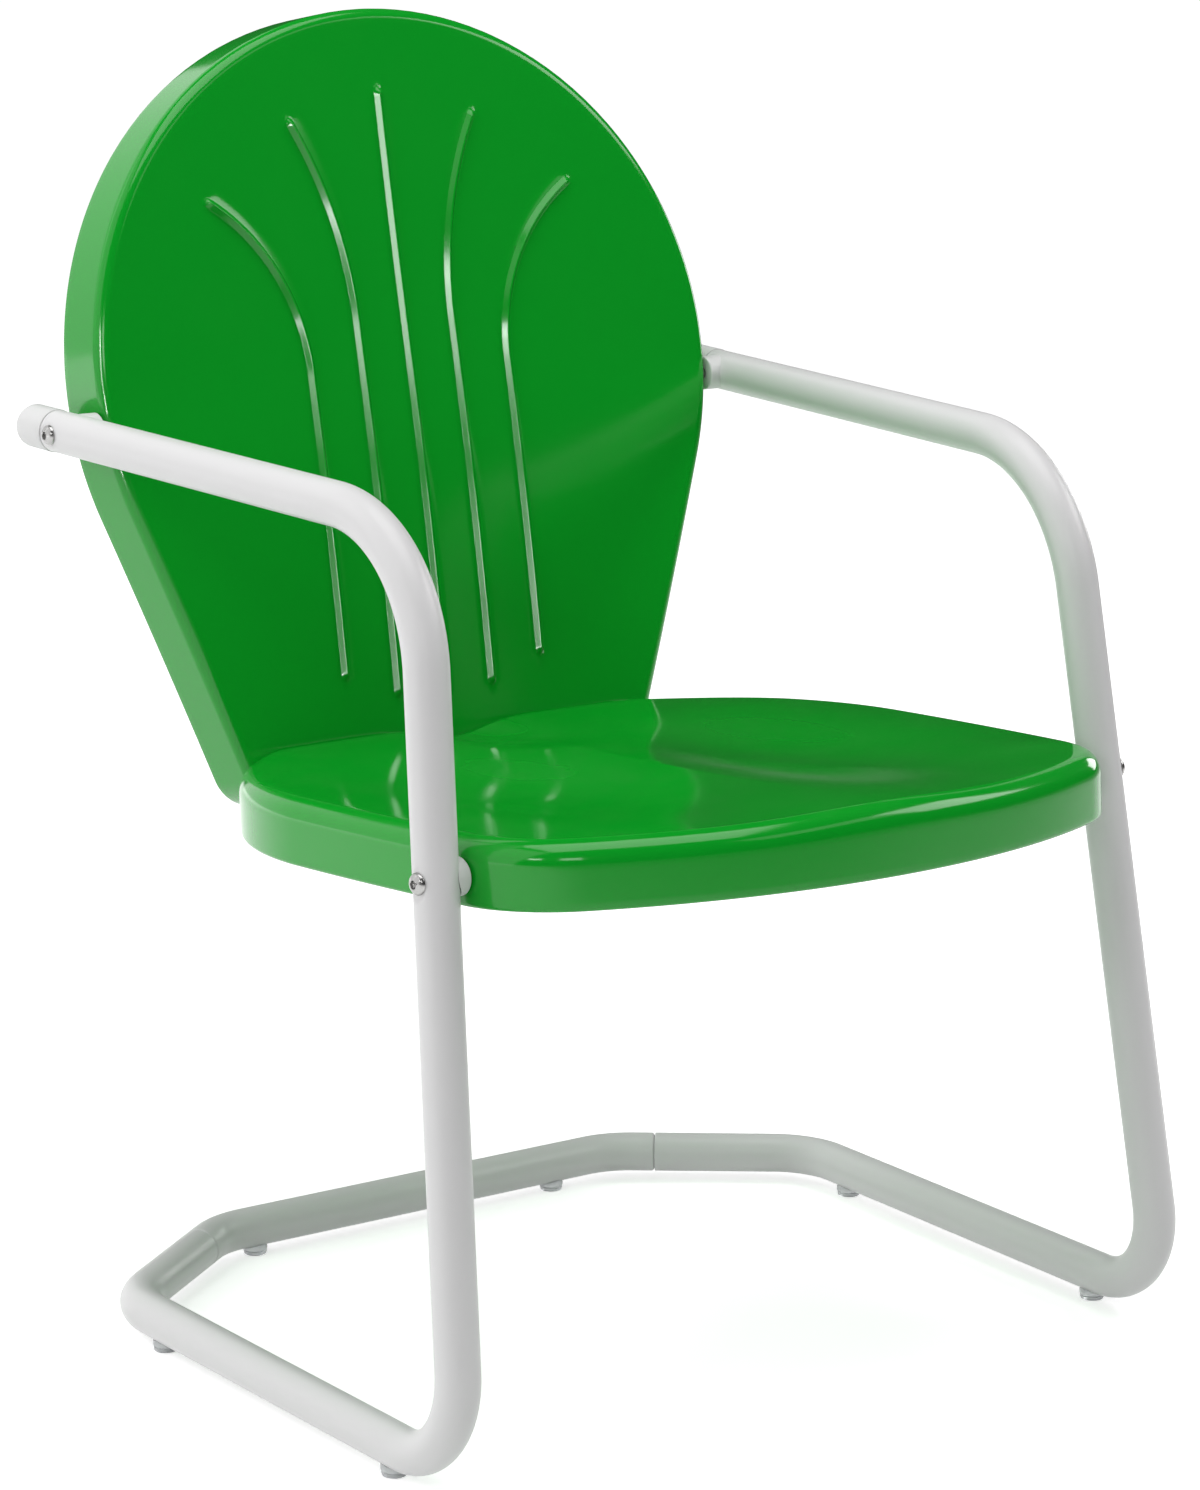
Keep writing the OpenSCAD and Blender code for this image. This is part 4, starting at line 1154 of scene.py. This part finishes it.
    def rows(self) -> list[tuple[str, float, float]]:
        """Rows of the face from the lower edge to the upper one.

        Returns:
            For each row its zone, its share of the zone and its share of the edge's length.
        """
        ribs = np.concatenate([np.linspace(0.0, 0.03, 9), np.linspace(0.04, 0.96, 92),
                               np.linspace(0.97, 1.0, 9)])
        zones = (("low", 0.0, self.low_share, np.linspace(0.0, 1.0, 9)[:-1]),
                 ("rib", self.low_share, self.rib_share, ribs),
                 ("top", self.rib_share, 1.0, np.linspace(0.0, 1.0, 13)[1:]))
        return [(zone, t, a + (b - a) * t) for zone, a, b, shares in zones for t in shares]

    def columns(self) -> list[tuple[int, int, float, float]]:
        """Columns of the right half: from rib to rib, with fine ones over each rib.

        Returns:
            Rib to the left, rib to the right, share of the way and offset across the rib. The
            offset of a column between ribs isn't a number.
        """
        right = list(self.rib_columns)
        both = [-a for a in right[:0:-1]] + right
        to_edge = (1.0 - np.cos(np.linspace(0.0, math.pi, 20))) / 2.0
        table = [(0, 0, 0.0, o) for o in right]
        table += [(0, 1, q, math.nan) for q in np.linspace(0.0, 1.0, 9)[1:-1]]
        table += [(1, 1, 0.0, o) for o in both]
        table += [(1, 2, q, math.nan) for q in np.linspace(0.0, 1.0, 10)[1:-1]]
        table += [(2, 2, 0.0, o) for o in both]
        return table + [(2, 3, q, math.nan) for q in to_edge[1:]]

    def grid(self) -> tuple[Array, list[Station]]:
        """Right half of the face as a grid, and the stations of its right edge.

        Returns:
            Grid of u, v and rise by row and column, and one station for each row.
        """
        rows, columns = self.rows(), self.columns()
        table = np.zeros((len(rows), len(columns), 3))
        stations = [self.edge_station(share) for _, _, share in rows]
        last = len(rows) - 1
        for r, (zone, t, _) in enumerate(rows):
            edge = self.station_out(stations[r], self.roll)
            lines = [self.rib_line(rib, zone, t) for rib in self.ribs]

            def beside(k: int, offset: float) -> Array:
                """Point beside rib k's line in this row."""
                u, v, a = lines[k]
                return np.array([u, v]) + polar(-a, offset)

            for c, (a, b, q, offset) in enumerate(columns):
                rise = 0.0
                if math.isnan(offset):
                    start = beside(a, self.rib_w / 2.0)
                    end = edge if b == len(lines) else beside(b, -self.rib_w / 2.0)
                    p = start + q * (end - start)
                else:
                    p = beside(a, offset)
                    rise = self.rib_rise(self.ribs[a], t, offset) if zone == "rib" else 0.0
                if r == last:
                    p = self.on_top_edge(p)
                elif r == 0 and c < len(columns) - 1:
                    p = self.station_out(self.low_station(p[0]), self.roll)
                table[r, c] = (p[0], p[1], rise)
        return table, stations

    def placed(self, u: Array, v: Array, w: Array) -> Array:
        """Moves points from the back's own frame to the chair's, in metres."""
        c, s = math.cos(math.radians(self.lean)), math.sin(math.radians(self.lean))
        return np.stack([u, self.y + v * s - w * c, self.z + v * c + w * s], axis=-1) * MM

    def border(self, face: Array, sides: list[Station]) -> list[Station]:
        """Edge stations all round the face, in the order of the grid's border.

        Args:
            face: the whole grid.
            sides: stations of the right edge, one a row.

        Returns:
            The stations.
        """
        low = [self.low_station(p[0]) for p in face[0]]
        low[0], low[-1] = self.flipped(sides[0]), sides[0]
        top = [(0.0, self.top_v, self.top_r,
                math.degrees(math.atan2(p[1] - self.top_v, p[0]))) for p in face[-1][::-1]]
        return low + sides[1:-1] + top + [self.flipped(s) for s in sides[-2:0:-1]]

    def flange_rings(self, stations: list[Station], t: float) -> list[Array]:
        """Rings of the rolled edge, flange and hem on one side of the sheet.

        Args:
            stations: edge stations all round.
            t: 0 for the outside, the sheet's thickness for the inside.

        Returns:
            The rings in metres, from the face outwards.
        """
        tangent = math.tan(math.radians(self.draft))
        inner = np.array([self.station_out(s, self.roll) for s in stations])
        face = self.face_w(inner[:, 0], inner[:, 1])
        rings = []
        for inset, depth in self.edge.profile(self.roll, self.flange, 0.0, t)[1:]:
            draft = max(0.0, -depth - self.roll) * tangent
            p = np.array([self.station_out(s, inset - draft) for s in stations])
            rings.append(self.placed(p[:, 0], p[:, 1], face + depth))
        return rings

    def build(self) -> None:
        """Builds and seats the pan."""
        half, sides = self.grid()
        left = half[:, :0:-1] * np.array([-1.0, 1.0, 1.0])
        face = np.concatenate([left, half], axis=1)
        rows, cols = face.shape[:2]
        ids = np.arange(rows * cols).reshape(rows, cols)
        rim = np.concatenate([ids[0], ids[1:-1, -1], ids[-1, ::-1], ids[-2:0:-1, 0]])
        u, v, rise = face[..., 0], face[..., 1], face[..., 2]
        front, rear = (self.placed(u, v, self.face_w(u, v) + rise - t).reshape(-1, 3)
                       for t in (0.0, self.edge.sheet))
        stations = self.border(face, sides)
        rings = (self.flange_rings(stations, 0.0)
                 + self.flange_rings(stations, self.edge.sheet)[::-1])
        count, cells = len(rim), rows * cols
        base = cells + count * len(rings)
        lines = np.vstack([rim, np.arange(cells, base).reshape(-1, count), base + rim])
        faces = []
        for a in ids[:-1, :-1].ravel():
            faces.append((a, a + 1, a + cols + 1, a + cols))
            faces.append((base + a, base + a + cols, base + a + cols + 1, base + a + 1))
        for near, far in zip(lines[:-1], lines[1:]):
            faces += zip(near, far, np.roll(far, -1), np.roll(near, -1))
        points = np.concatenate([front, *rings, rear])
        piece = mesh_piece("back_pan", points, faces, self.finish)
        seat_piece(keep_creases(piece, self.crease), Slot.GREEN.value, "back_shell")


@dataclass(frozen=True)
class Ring:
    """One ring of a piece turned about +Z, in millimetres.

    A hexagon's radius is half its width across the flats. A screw ring is cut by the given depth
    where the thread's root passes. A saddled ring lies on a tube of radius saddle whose axis runs
    along X at the height saddle_at.
    """

    radius: float
    height: float
    hexagon: float = 0.0
    thread: float = 0.0
    pitch: float = 1.25
    saddle: float = 0.0
    saddle_at: float = 0.0

    def points(self, sides: int) -> Array:
        """Points of the ring.

        Args:
            sides: how many.

        Returns:
            One row for each point, in millimetres.
        """
        a = np.arange(sides) * TURN / sides
        six = TURN / 6.0
        flat = 1.0 / np.cos(np.mod(a, six) - six / 2.0)
        radius = self.radius * (1.0 + self.hexagon * (flat - 1.0))
        turn = self.height / self.pitch - a / TURN
        radius = radius - self.thread * (1.0 - np.cos(TURN * turn)) / 2.0
        x, y = radius * np.cos(a), radius * np.sin(a)
        z = np.full(sides, self.height)
        if self.saddle:
            z = self.saddle_at - np.sqrt(np.maximum(self.saddle ** 2 - y ** 2, 0.0))
        return np.stack([x, y, z], axis=1)


def round_over(radius: float, at: float, height: float, start: float, end: float,
               count: int) -> list[Ring]:
    """Returns rings of an edge rounded about a centre, from one angle in degrees to another."""
    return [Ring(at + radius * math.cos(a), height + radius * math.sin(a))
            for a in np.radians(np.linspace(start, end, count))]


@dataclass(frozen=True)
class TurnedPiece:
    """A small piece made of rings about +Z, with or without a bore."""

    name: str
    rings: tuple[Ring, ...]
    bored: bool = False
    sides: int = 96
    crease: float = 35.0

    def make(self, finish: Material) -> Piece:
        """Builds the pattern piece.

        Args:
            finish: its material.

        Returns:
            The piece at the origin.
        """
        rows = [ring.points(self.sides) for ring in self.rings]
        faces = shell_faces(len(rows), self.sides, self.bored)
        if not self.bored:
            rows.append(np.stack([rows[0].mean(axis=0), rows[-1].mean(axis=0)]))
        piece = mesh_piece(self.name, np.concatenate(rows) * MM, faces, finish)
        return keep_creases(piece, self.crease)


@dataclass(frozen=True)
class Thread:
    """A size of button-head screw with its washer and nut, in millimetres."""

    shank: float
    pitch: float
    threaded: float
    hole: float
    washer_width: float
    flats: float
    nut_height: float
    washer_thick: float = 1.6
    proud: float = 2.5

    def screw(self, name: str, grip: float) -> TurnedPiece:
        """Button-head screw with a hexagon socket; the underside of its head is at zero.

        Args:
            name: the piece's name.
            grip: distance from its head to its nut.

        Returns:
            The piece.
        """
        r, pitch = self.shank / 2.0, self.pitch
        tip = -(grip + self.nut_height + self.proud)
        head, dome = 1.75 * r, 0.55 * self.shank
        key, depth = 0.3125 * self.shank, 0.17 * self.shank
        start, stop, brim = tip + 0.7, tip + self.threaded, 0.45
        rings = [Ring(r - 0.9, tip), Ring(r - 0.7, tip + 0.15)]
        for z in np.arange(start, stop, pitch / 8.0):
            cut = 0.6 * pitch * min(1.0, (z - start) / pitch + 0.2)
            rings.append(Ring(r, float(z), thread=cut, pitch=pitch))
        rings += [Ring(r, stop + 0.3), Ring(r, -0.3), Ring(r + 0.3, 0.0),
                  Ring(head - 0.25, 0.0), Ring(head, 0.2), Ring(head, brim)]
        for t in np.linspace(0.12, 1.0, 9)[:-1] * TURN / 4.0:
            ring = Ring(head * math.cos(t) ** 0.9, brim + (dome - brim) * math.sin(t))
            if ring.radius > key + 0.75:
                rings.append(ring)
        rings += [Ring(key + 0.62, dome * 0.985), Ring(key + 0.25, dome * 0.96, hexagon=0.3),
                  Ring(key, dome * 0.88, hexagon=1.0), Ring(key, dome - depth * 1.6, hexagon=1.0),
                  Ring(key - 0.15, dome - depth * 1.75, hexagon=1.0),
                  Ring(0.6, dome - depth * 2.0)]
        return TurnedPiece(name, tuple(rings))

    def washer(self, name: str) -> TurnedPiece:
        """Returns a punched washer from zero up, with one edge rounded as a punch leaves it."""
        r, k, thick = self.washer_width / 2.0, self.hole / 2.0, self.washer_thick
        return TurnedPiece(name, (
            Ring(k, 0.0), Ring(r - 0.3, 0.0), Ring(r - 0.09, 0.09), Ring(r, 0.3),
            Ring(r, thick - 0.05), Ring(r - 0.05, thick), Ring(k + 0.15, thick),
            Ring(k, thick - 0.15)), bored=True)

    def nut(self, name: str) -> TurnedPiece:
        """Hexagon nut from zero up, with chamfered corners.

        Args:
            name: the piece's name.

        Returns:
            The piece.
        """
        r, k, thick = self.flats / 2.0, self.shank / 2.0 + 0.05, self.nut_height
        low = [Ring(k + 0.45, 0.0), Ring(r - 0.1, 0.0), Ring(r, 0.12, 0.1), Ring(r, 0.5, 0.75),
               Ring(r, 0.75, 1.0)]
        high = [Ring(ring.radius, thick - ring.height, ring.hexagon) for ring in low[::-1]]
        inside = [Ring(k, float(z)) for z in np.linspace(thick - 0.45, 0.45, 5)]
        return TurnedPiece(name, (*low, *high, *inside), bored=True, crease=25.0)


@dataclass(frozen=True)
class Plastics:
    """The plastic pieces that fit the tube, in millimetres."""

    tube: TubeSizes
    gap: float = 0.3
    wall: float = 1.6
    cap_swell: float = 0.4
    cap_length: float = 36.5
    cap_edge: float = 9.4
    cap_gap: float = 0.7
    plug: float = 6.0
    spacer_width: float = 24.5
    spacer_bore: float = 4.3
    spacer_edge: float = 1.1
    stem: float = 2.0

    def cap(self) -> TurnedPiece:
        """Rounded cap with a plug, from the end of the arm tube backwards.

        Returns:
            The piece.
        """
        r, gap, edge = self.tube.radius / MM, self.cap_gap, self.cap_edge
        bore = r - self.wall - 0.25
        r += self.cap_swell
        rings = [Ring(bore - 0.75, -self.plug), Ring(bore, -self.plug + 0.8), Ring(bore, gap),
                 Ring(r - 0.45, gap), Ring(r - 0.12, gap + 0.12), Ring(r, gap + 0.45),
                 Ring(r, gap + 6.0), Ring(r, gap + 14.0)]
        rings += round_over(edge, r - edge, self.cap_length - edge, 0.0, 88.0, 23)
        return TurnedPiece("arm_cap_pattern", (*rings, Ring(2.0, self.cap_length)))

    def spacer(self, name: str, reach: float) -> TurnedPiece:
        """Spacer between pan and tube, flat end down; the tube's axis runs along X at zero.

        Args:
            name: the piece's name.
            reach: distance from the tube's axis to the pan.

        Returns:
            The piece.
        """
        r, k, edge = self.spacer_width / 2.0, self.spacer_bore, self.spacer_edge
        base, on_tube = -reach + self.gap, self.tube.radius / MM + self.gap
        rings = [Ring(k + 0.2, base), Ring(r - edge, base)]
        rings += round_over(edge, r - edge, base + edge, -80.0, 0.0, 7)
        rings += [Ring(a, 0.0, saddle=on_tube) for a in (r, r - 0.25, r - 2.0, 7.0, k)]
        return TurnedPiece(name, (*rings, Ring(k, base + 0.4)), bored=True)

    def glide(self) -> TurnedPiece:
        """Glide with a groove round it and a stem; it stands on zero.

        Returns:
            The piece.
        """
        axis, radius = self.tube.rail_height / MM, self.tube.radius / MM
        top = axis - radius + self.stem
        outline = ((4.8, 0.45), (5.6, 0.0), (7.2, 0.0), (7.75, 0.2), (8.1, 0.75), (8.3, 1.7),
                   (8.38, 2.6), (8.2, 2.85), (7.75, 2.95), (7.7, 3.3), (8.25, 3.45), (8.62, 3.7),
                   (8.8, 4.2), (8.8, 5.2))
        rings = [Ring(a, z) for a, z in outline]
        rings += [Ring(a, 0.0, saddle=radius + self.gap, saddle_at=axis)
                  for a in (8.8, 8.5, 7.5, 6.0, 4.5, 3.0)]
        return TurnedPiece("glide_pattern", (*rings, Ring(3.0, top - 0.6), Ring(2.5, top)))


@dataclass
class Fittings:
    """Screws, washers, nuts, spacers, caps and glides, all set out on the frame."""

    materials: Materials
    tree: TreeMaker
    frame: TubeFrame
    side_thread: Thread = Thread(8.0, 1.25, 14.0, 8.6, 15.0, 13.0, 6.8)
    back_thread: Thread = Thread(6.0, 1.0, 10.0, 6.6, 12.0, 10.0, 5.1)
    head_at: float = 13.4
    arm_spacer_reach: float = 22.673
    seat_spacer_reach: float = 18.519
    arm_washer_at: float = 29.018
    seat_washer_at: float = 22.937
    back_height: float = 359.407
    back_faces: tuple[float, ...] = (181.797, 184.122, 181.797)
    back_pitch: float = 95.0
    back_grip: float = 6.486
    back_head_gap: float = 0.05
    glide_insets: tuple[float, float] = (0.076, 0.046)
    cross_glides: tuple[float, float] = (-0.1385, 0.117)

    def set_out(self, pattern: TurnedPiece, slot: Slot, name: str, places: list[Place],
                *nodes: str) -> None:
        """Sets a pattern at several places as one piece.

        Args:
            pattern: the pattern.
            slot: its finish.
            name: the piece's name.
            places: point, direction of +Z and direction of X for each.
            nodes: the solids that the piece stands for.
        """
        finish = self.materials[slot]
        model = pattern.make(finish)
        points, along, across = (list(column) for column in zip(*places))
        start = point_mesh("places", points, {"along": along, "across": across})
        piece = self.tree.bake(name, start, {"Pattern": model, "Finish": finish})
        spare = model.data
        bpy.data.objects.remove(model)
        bpy.data.meshes.remove(spare)
        seat_piece(piece, slot.value, *nodes)

    def both(self, *place: Array) -> list[Place]:
        """The same place on the left and on the right."""
        return [tuple(side.put(part) for part in place) for side in Side]

    def side_stack(self, name: str, at: Array, way: Array, along: Array, reach: float,
                   washer_at: float) -> None:
        """Sets the screws, washers, nuts and spacers of one pair of side screws.

        Args:
            name: arm or seat.
            at: where the right screw crosses its tube's axis.
            way: outward direction of the right screw.
            along: direction of the tube there.
            reach: distance from the tube's axis to the spacer's flat end.
            washer_at: distance from the tube's axis to the washer's inner face.
        """
        thread = self.side_thread

        def out(t: float) -> list[Place]:
            """Both places, moved outwards along the screws."""
            return self.both(at + way * t * MM, way, level_across(way))

        self.set_out(thread.screw(f"{name}_screw_pattern", self.head_at + washer_at), Slot.SCREW,
                     f"{name}_screws", out(self.head_at),
                     f"left_{name}_bolt", f"right_{name}_bolt")
        self.set_out(thread.washer(f"{name}_washer_pattern"), Slot.ZINC, f"{name}_washer_pair",
                     out(-washer_at), f"{name}_washers")
        self.set_out(thread.nut(f"{name}_nut_pattern"), Slot.ZINC, f"{name}_nut_pair",
                     out(-washer_at - thread.nut_height), f"{name}_nuts")
        spacer = Plastics(self.frame.tube).spacer(f"{name}_spacer_pattern", reach)
        self.set_out(spacer, Slot.PLASTIC, f"{name}_spacer_pair", self.both(at, way, along),
                     f"left_{name}_spacer", f"right_{name}_spacer")

    def back_stack(self) -> None:
        """Sets the three screws that join the back to the seat, with washers and nuts."""
        thread = self.back_thread
        xs = (-self.back_pitch, 0.0, self.back_pitch)
        points = [np.array([x, y, self.back_height]) * MM for x, y in zip(xs, self.back_faces)]

        def out(t: float) -> list[Place]:
            """The three places, moved along the screws."""
            return [(p + REARWARD * t * MM, REARWARD, OUTWARD) for p in points]

        thick = thread.washer_thick
        self.set_out(thread.screw("back_screw_pattern", thick + self.back_grip), Slot.ZINC,
                     "back_screws", out(thick + self.back_head_gap), "back_bolts")
        self.set_out(thread.washer("back_washer_pattern"), Slot.ZINC, "back_washer_set",
                     out(0.0), "back_washers")
        self.set_out(thread.nut("back_nut_pattern"), Slot.ZINC, "back_nut_set",
                     out(-self.back_grip - thread.nut_height), "back_nuts")

    def glides(self) -> None:
        """Sets the six glides."""
        front, rear = (p * np.array([1.0, 1.0, 0.0]) for p in (self.frame.front, self.frame.rear))
        rail = unit(rear - front)
        from_front, from_rear = self.glide_insets
        places = self.both(front + from_front * rail, UP, rail)
        places += self.both(rear - from_rear * rail, UP, rail)
        places += [(np.array([x, self.frame.cross[1], 0.0]), UP, OUTWARD)
                   for x in self.cross_glides]
        nodes = [f"{side.name.lower()}_{at}_glide" for at in ("front", "rear", "cross")
                 for side in Side]
        self.set_out(Plastics(self.frame.tube).glide(), Slot.CLEAR, "floor_glides", places, *nodes)

    def caps(self) -> None:
        """Sets the two arm caps."""
        way = self.frame.arm_way
        self.set_out(Plastics(self.frame.tube).cap(), Slot.PLASTIC, "arm_cap_pair",
                     self.both(self.frame.end, way, level_across(way)),
                     "left_arm_cap", "right_arm_cap")

    def build(self) -> None:
        """Builds and seats every fitting."""
        tubes = self.frame
        self.side_stack("arm", tubes.arm_bolt_at, OUTWARD, tubes.arm_way,
                        self.arm_spacer_reach, self.arm_washer_at)
        self.side_stack("seat", tubes.seat_bolt_at, tubes.seat_bolt_way, tubes.upright,
                        self.seat_spacer_reach, self.seat_washer_at)
        self.back_stack()
        self.glides()
        self.caps()


@dataclass(frozen=True)
class Softbox:
    """A rectangular softbox that faces the chair.

    Its azimuth counts from straight in front of the chair towards the picture's right. Where it
    names a piece, it lights only that one, and only as a reflection.
    """

    name: str
    azimuth: float
    elevation: float
    distance: float
    size: tuple[float, float]
    radiance: float
    only: str = ""

    def hang(self, middle: Vector) -> None:
        """Adds the lamp.

        Args:
            middle: the point that it faces.
        """
        data = bpy.data.lights.new(self.name, "AREA")
        data.shape = "RECTANGLE"
        data.size, data.size_y = self.size
        data.energy = self.radiance * math.pi * self.size[0] * self.size[1]
        lamp = bpy.data.objects.new(self.name, data)
        place = middle + heading(self.azimuth, self.elevation) * self.distance
        turn = (middle - place).to_track_quat("-Z", "Y").to_matrix().to_4x4()
        lamp.matrix_world = Matrix.Translation(place) @ turn
        lamp.visible_camera = False
        if self.only:
            lit = bpy.data.collections.new(self.name)
            lit.objects.link(bpy.data.objects[self.only])
            lamp.light_linking.receiver_collection = lit
            lamp.visible_diffuse = False
        bpy.context.scene.collection.objects.link(lamp)


@dataclass(frozen=True)
class Studio:
    """Camera, lamps, floor and world."""

    place: tuple[float, float, float] = (-1.6656, -2.4024, 1.0269)
    azimuth: float = -34.742
    elevation: float = 12.238
    roll: float = -0.2196
    lens: float = 107.63
    sensor: float = 36.0
    shift: tuple[float, float] = (0.0016, 0.0014)
    floor_colour: Colour = (0.86, 0.86, 0.86)
    floor_half: float = 30.0
    floor_glow: tuple[float, float] = (0.55, 0.96)
    glow_reach: tuple[float, float] = (0.5, 5.0)
    room_light: float = 0.09
    room_mirrored: float = 0.02
    sweep_front: tuple[float, float] = (-3.2, -1.9)
    sweep_right: tuple[float, float] = (3.4, 1.0)
    unlit: float = 0.1
    middle: tuple[float, float, float] = (0.0, 0.0, 0.45)
    softboxes: tuple[Softbox, ...] = (
        Softbox("left wall", -103.0, 26.0, 4.0, (4.1, 5.6), 1.2),
        Softbox("rear wall", -162.0, 22.0, 4.0, (4.8, 4.8), 1.1),
        Softbox("overhead", -20.0, 84.0, 2.9, (2.4, 2.4), 3.0),
        Softbox("right softbox", 64.0, 35.0, 3.1, (1.7, 0.95), 5.0),
        Softbox("far right softbox", 28.0, 38.0, 3.1, (1.6, 0.6), 1.2),
        Softbox("right rear softbox", 108.0, 8.0, 3.0, (0.9, 0.7), 4.5),
        Softbox("left key", -64.0, 23.0, 3.2, (0.5, 0.35), 12.0),
        Softbox("rib strip", -59.2, 1.9, 3.07, (0.38, 1.05), 34.0, "back_pan"),
        Softbox("rib key", -65.5, 18.7, 3.24, (0.58, 0.76), 15.0, "back_pan"),
        Softbox("front key", -35.0, 24.0, 3.6, (1.0, 0.6), 5.5))

    def camera(self) -> None:
        """Sets the camera at the picture's viewpoint."""
        back = heading(self.azimuth, self.elevation)
        right = Vector((*polar(self.azimuth), 0.0))
        up = back.cross(right)
        turn = math.radians(self.roll)
        x = right * math.cos(turn) + up * math.sin(turn)
        y = up * math.cos(turn) - right * math.sin(turn)
        data = bpy.data.cameras.new("picture camera")
        data.lens, data.sensor_width = self.lens, self.sensor
        data.shift_x, data.shift_y = self.shift
        camera = bpy.data.objects.new("picture camera", data)
        rows = Matrix((x, y, back)).transposed().to_4x4()
        camera.matrix_world = Matrix.Translation(self.place) @ rows
        bpy.context.scene.collection.objects.link(camera)
        bpy.context.scene.camera = camera

    def floor(self) -> None:
        """Lays the floor: white to the lens, and in mirrors fading to the front and right."""
        paint = Paint("pale floor", self.floor_colour)
        paths = paint.add("ShaderNodeLightPath", {}).outputs
        lens = paths["Is Camera Ray"]
        seen = paint.calc("MAXIMUM", lens, paths["Is Glossy Ray"])
        seen = paint.calc("MAXIMUM", seen, paths["Is Transmission Ray"])
        place = paint.add("ShaderNodeTexCoord", {}).outputs["Object"]
        reach = paint.add("ShaderNodeVectorMath", {0: place}, operation="LENGTH").outputs["Value"]
        glow = paint.ranged(reach, self.glow_reach, self.floor_glow, "SMOOTHSTEP")
        axes = paint.add("ShaderNodeSeparateXYZ", {"Vector": place}).outputs
        fades = [paint.ranged(axes[axis], ends, (self.unlit, 1.0), "SMOOTHSTEP")
                 for axis, ends in (("Y", self.sweep_front), ("X", self.sweep_right))]
        shown = paint.calc("MAXIMUM", lens, paint.calc("MULTIPLY", *fades))
        shown = paint.calc("MULTIPLY", seen, shown)
        paint.feed(paint.shader, {
            "Roughness": 1.0, "Specular IOR Level": 0.0, "Emission Color": (1.0, 1.0, 1.0, 1.0),
            "Emission Strength": paint.calc("MULTIPLY", shown, glow)})
        half = self.floor_half
        corners = np.array([(x * half, y * half, 0.0)
                            for x, y in ((-1, -1), (1, -1), (1, 1), (-1, 1))])
        plane = mesh_piece("floor", corners, [(0, 1, 2, 3)], paint.material)

    def world(self) -> None:
        """Fills the room with a little pale light, and shows it white to the lens."""
        world = bpy.data.worlds.new("room")
        world.use_nodes = True
        nodes = Nodes(world.node_tree)
        paths = nodes.add("ShaderNodeLightPath", {}).outputs
        strength = nodes.ranged(paths["Is Glossy Ray"], (0.0, 1.0),
                                (self.room_light, self.room_mirrored))
        for ray in ("Is Camera Ray", "Is Transmission Ray"):
            strength = nodes.calc("MAXIMUM", strength, paths[ray])
        nodes.feed(world.node_tree.nodes["Background"],
                   {"Color": (1.0, 1.0, 1.0, 1.0), "Strength": strength})
        bpy.context.scene.world = world

    def build(self) -> None:
        """Sets up the whole studio."""
        bpy.context.scene.view_settings.view_transform = "Standard"
        self.camera()
        self.floor()
        self.world()
        for softbox in self.softboxes:
            softbox.hang(Vector(self.middle))


def dress_solids(materials: Materials) -> None:
    """Gives every solid that shows as it is the finish of its slot.

    Args:
        materials: the finishes.
    """
    slots = {entry["node"]: entry["material_slot"] for entry in frame["record"]["subparts"]}
    for name, solid in frame["nodes"].items():
        finish = materials[Slot(slots[name])]
        solid.data.materials.clear()
        solid.data.materials.append(finish)


def main() -> None:
    """Builds the chair's looks around its solids."""
    logging.basicConfig(level=logging.INFO, format="%(message)s")
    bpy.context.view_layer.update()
    effects = Effects()
    materials = {slot: finish.build(effects) for slot, finish in FINISHES.items()}
    dress_solids(materials)
    tubes = TubeFrame(materials[Slot.WHITE], bent_tube_tree())
    tubes.build()
    SeatPan(materials[Slot.GREEN]).build()
    BackPan(materials[Slot.GREEN]).build()
    Fittings(materials, set_out_tree(), tubes).build()
    Studio().build()


if __name__ == "__main__":
    main()
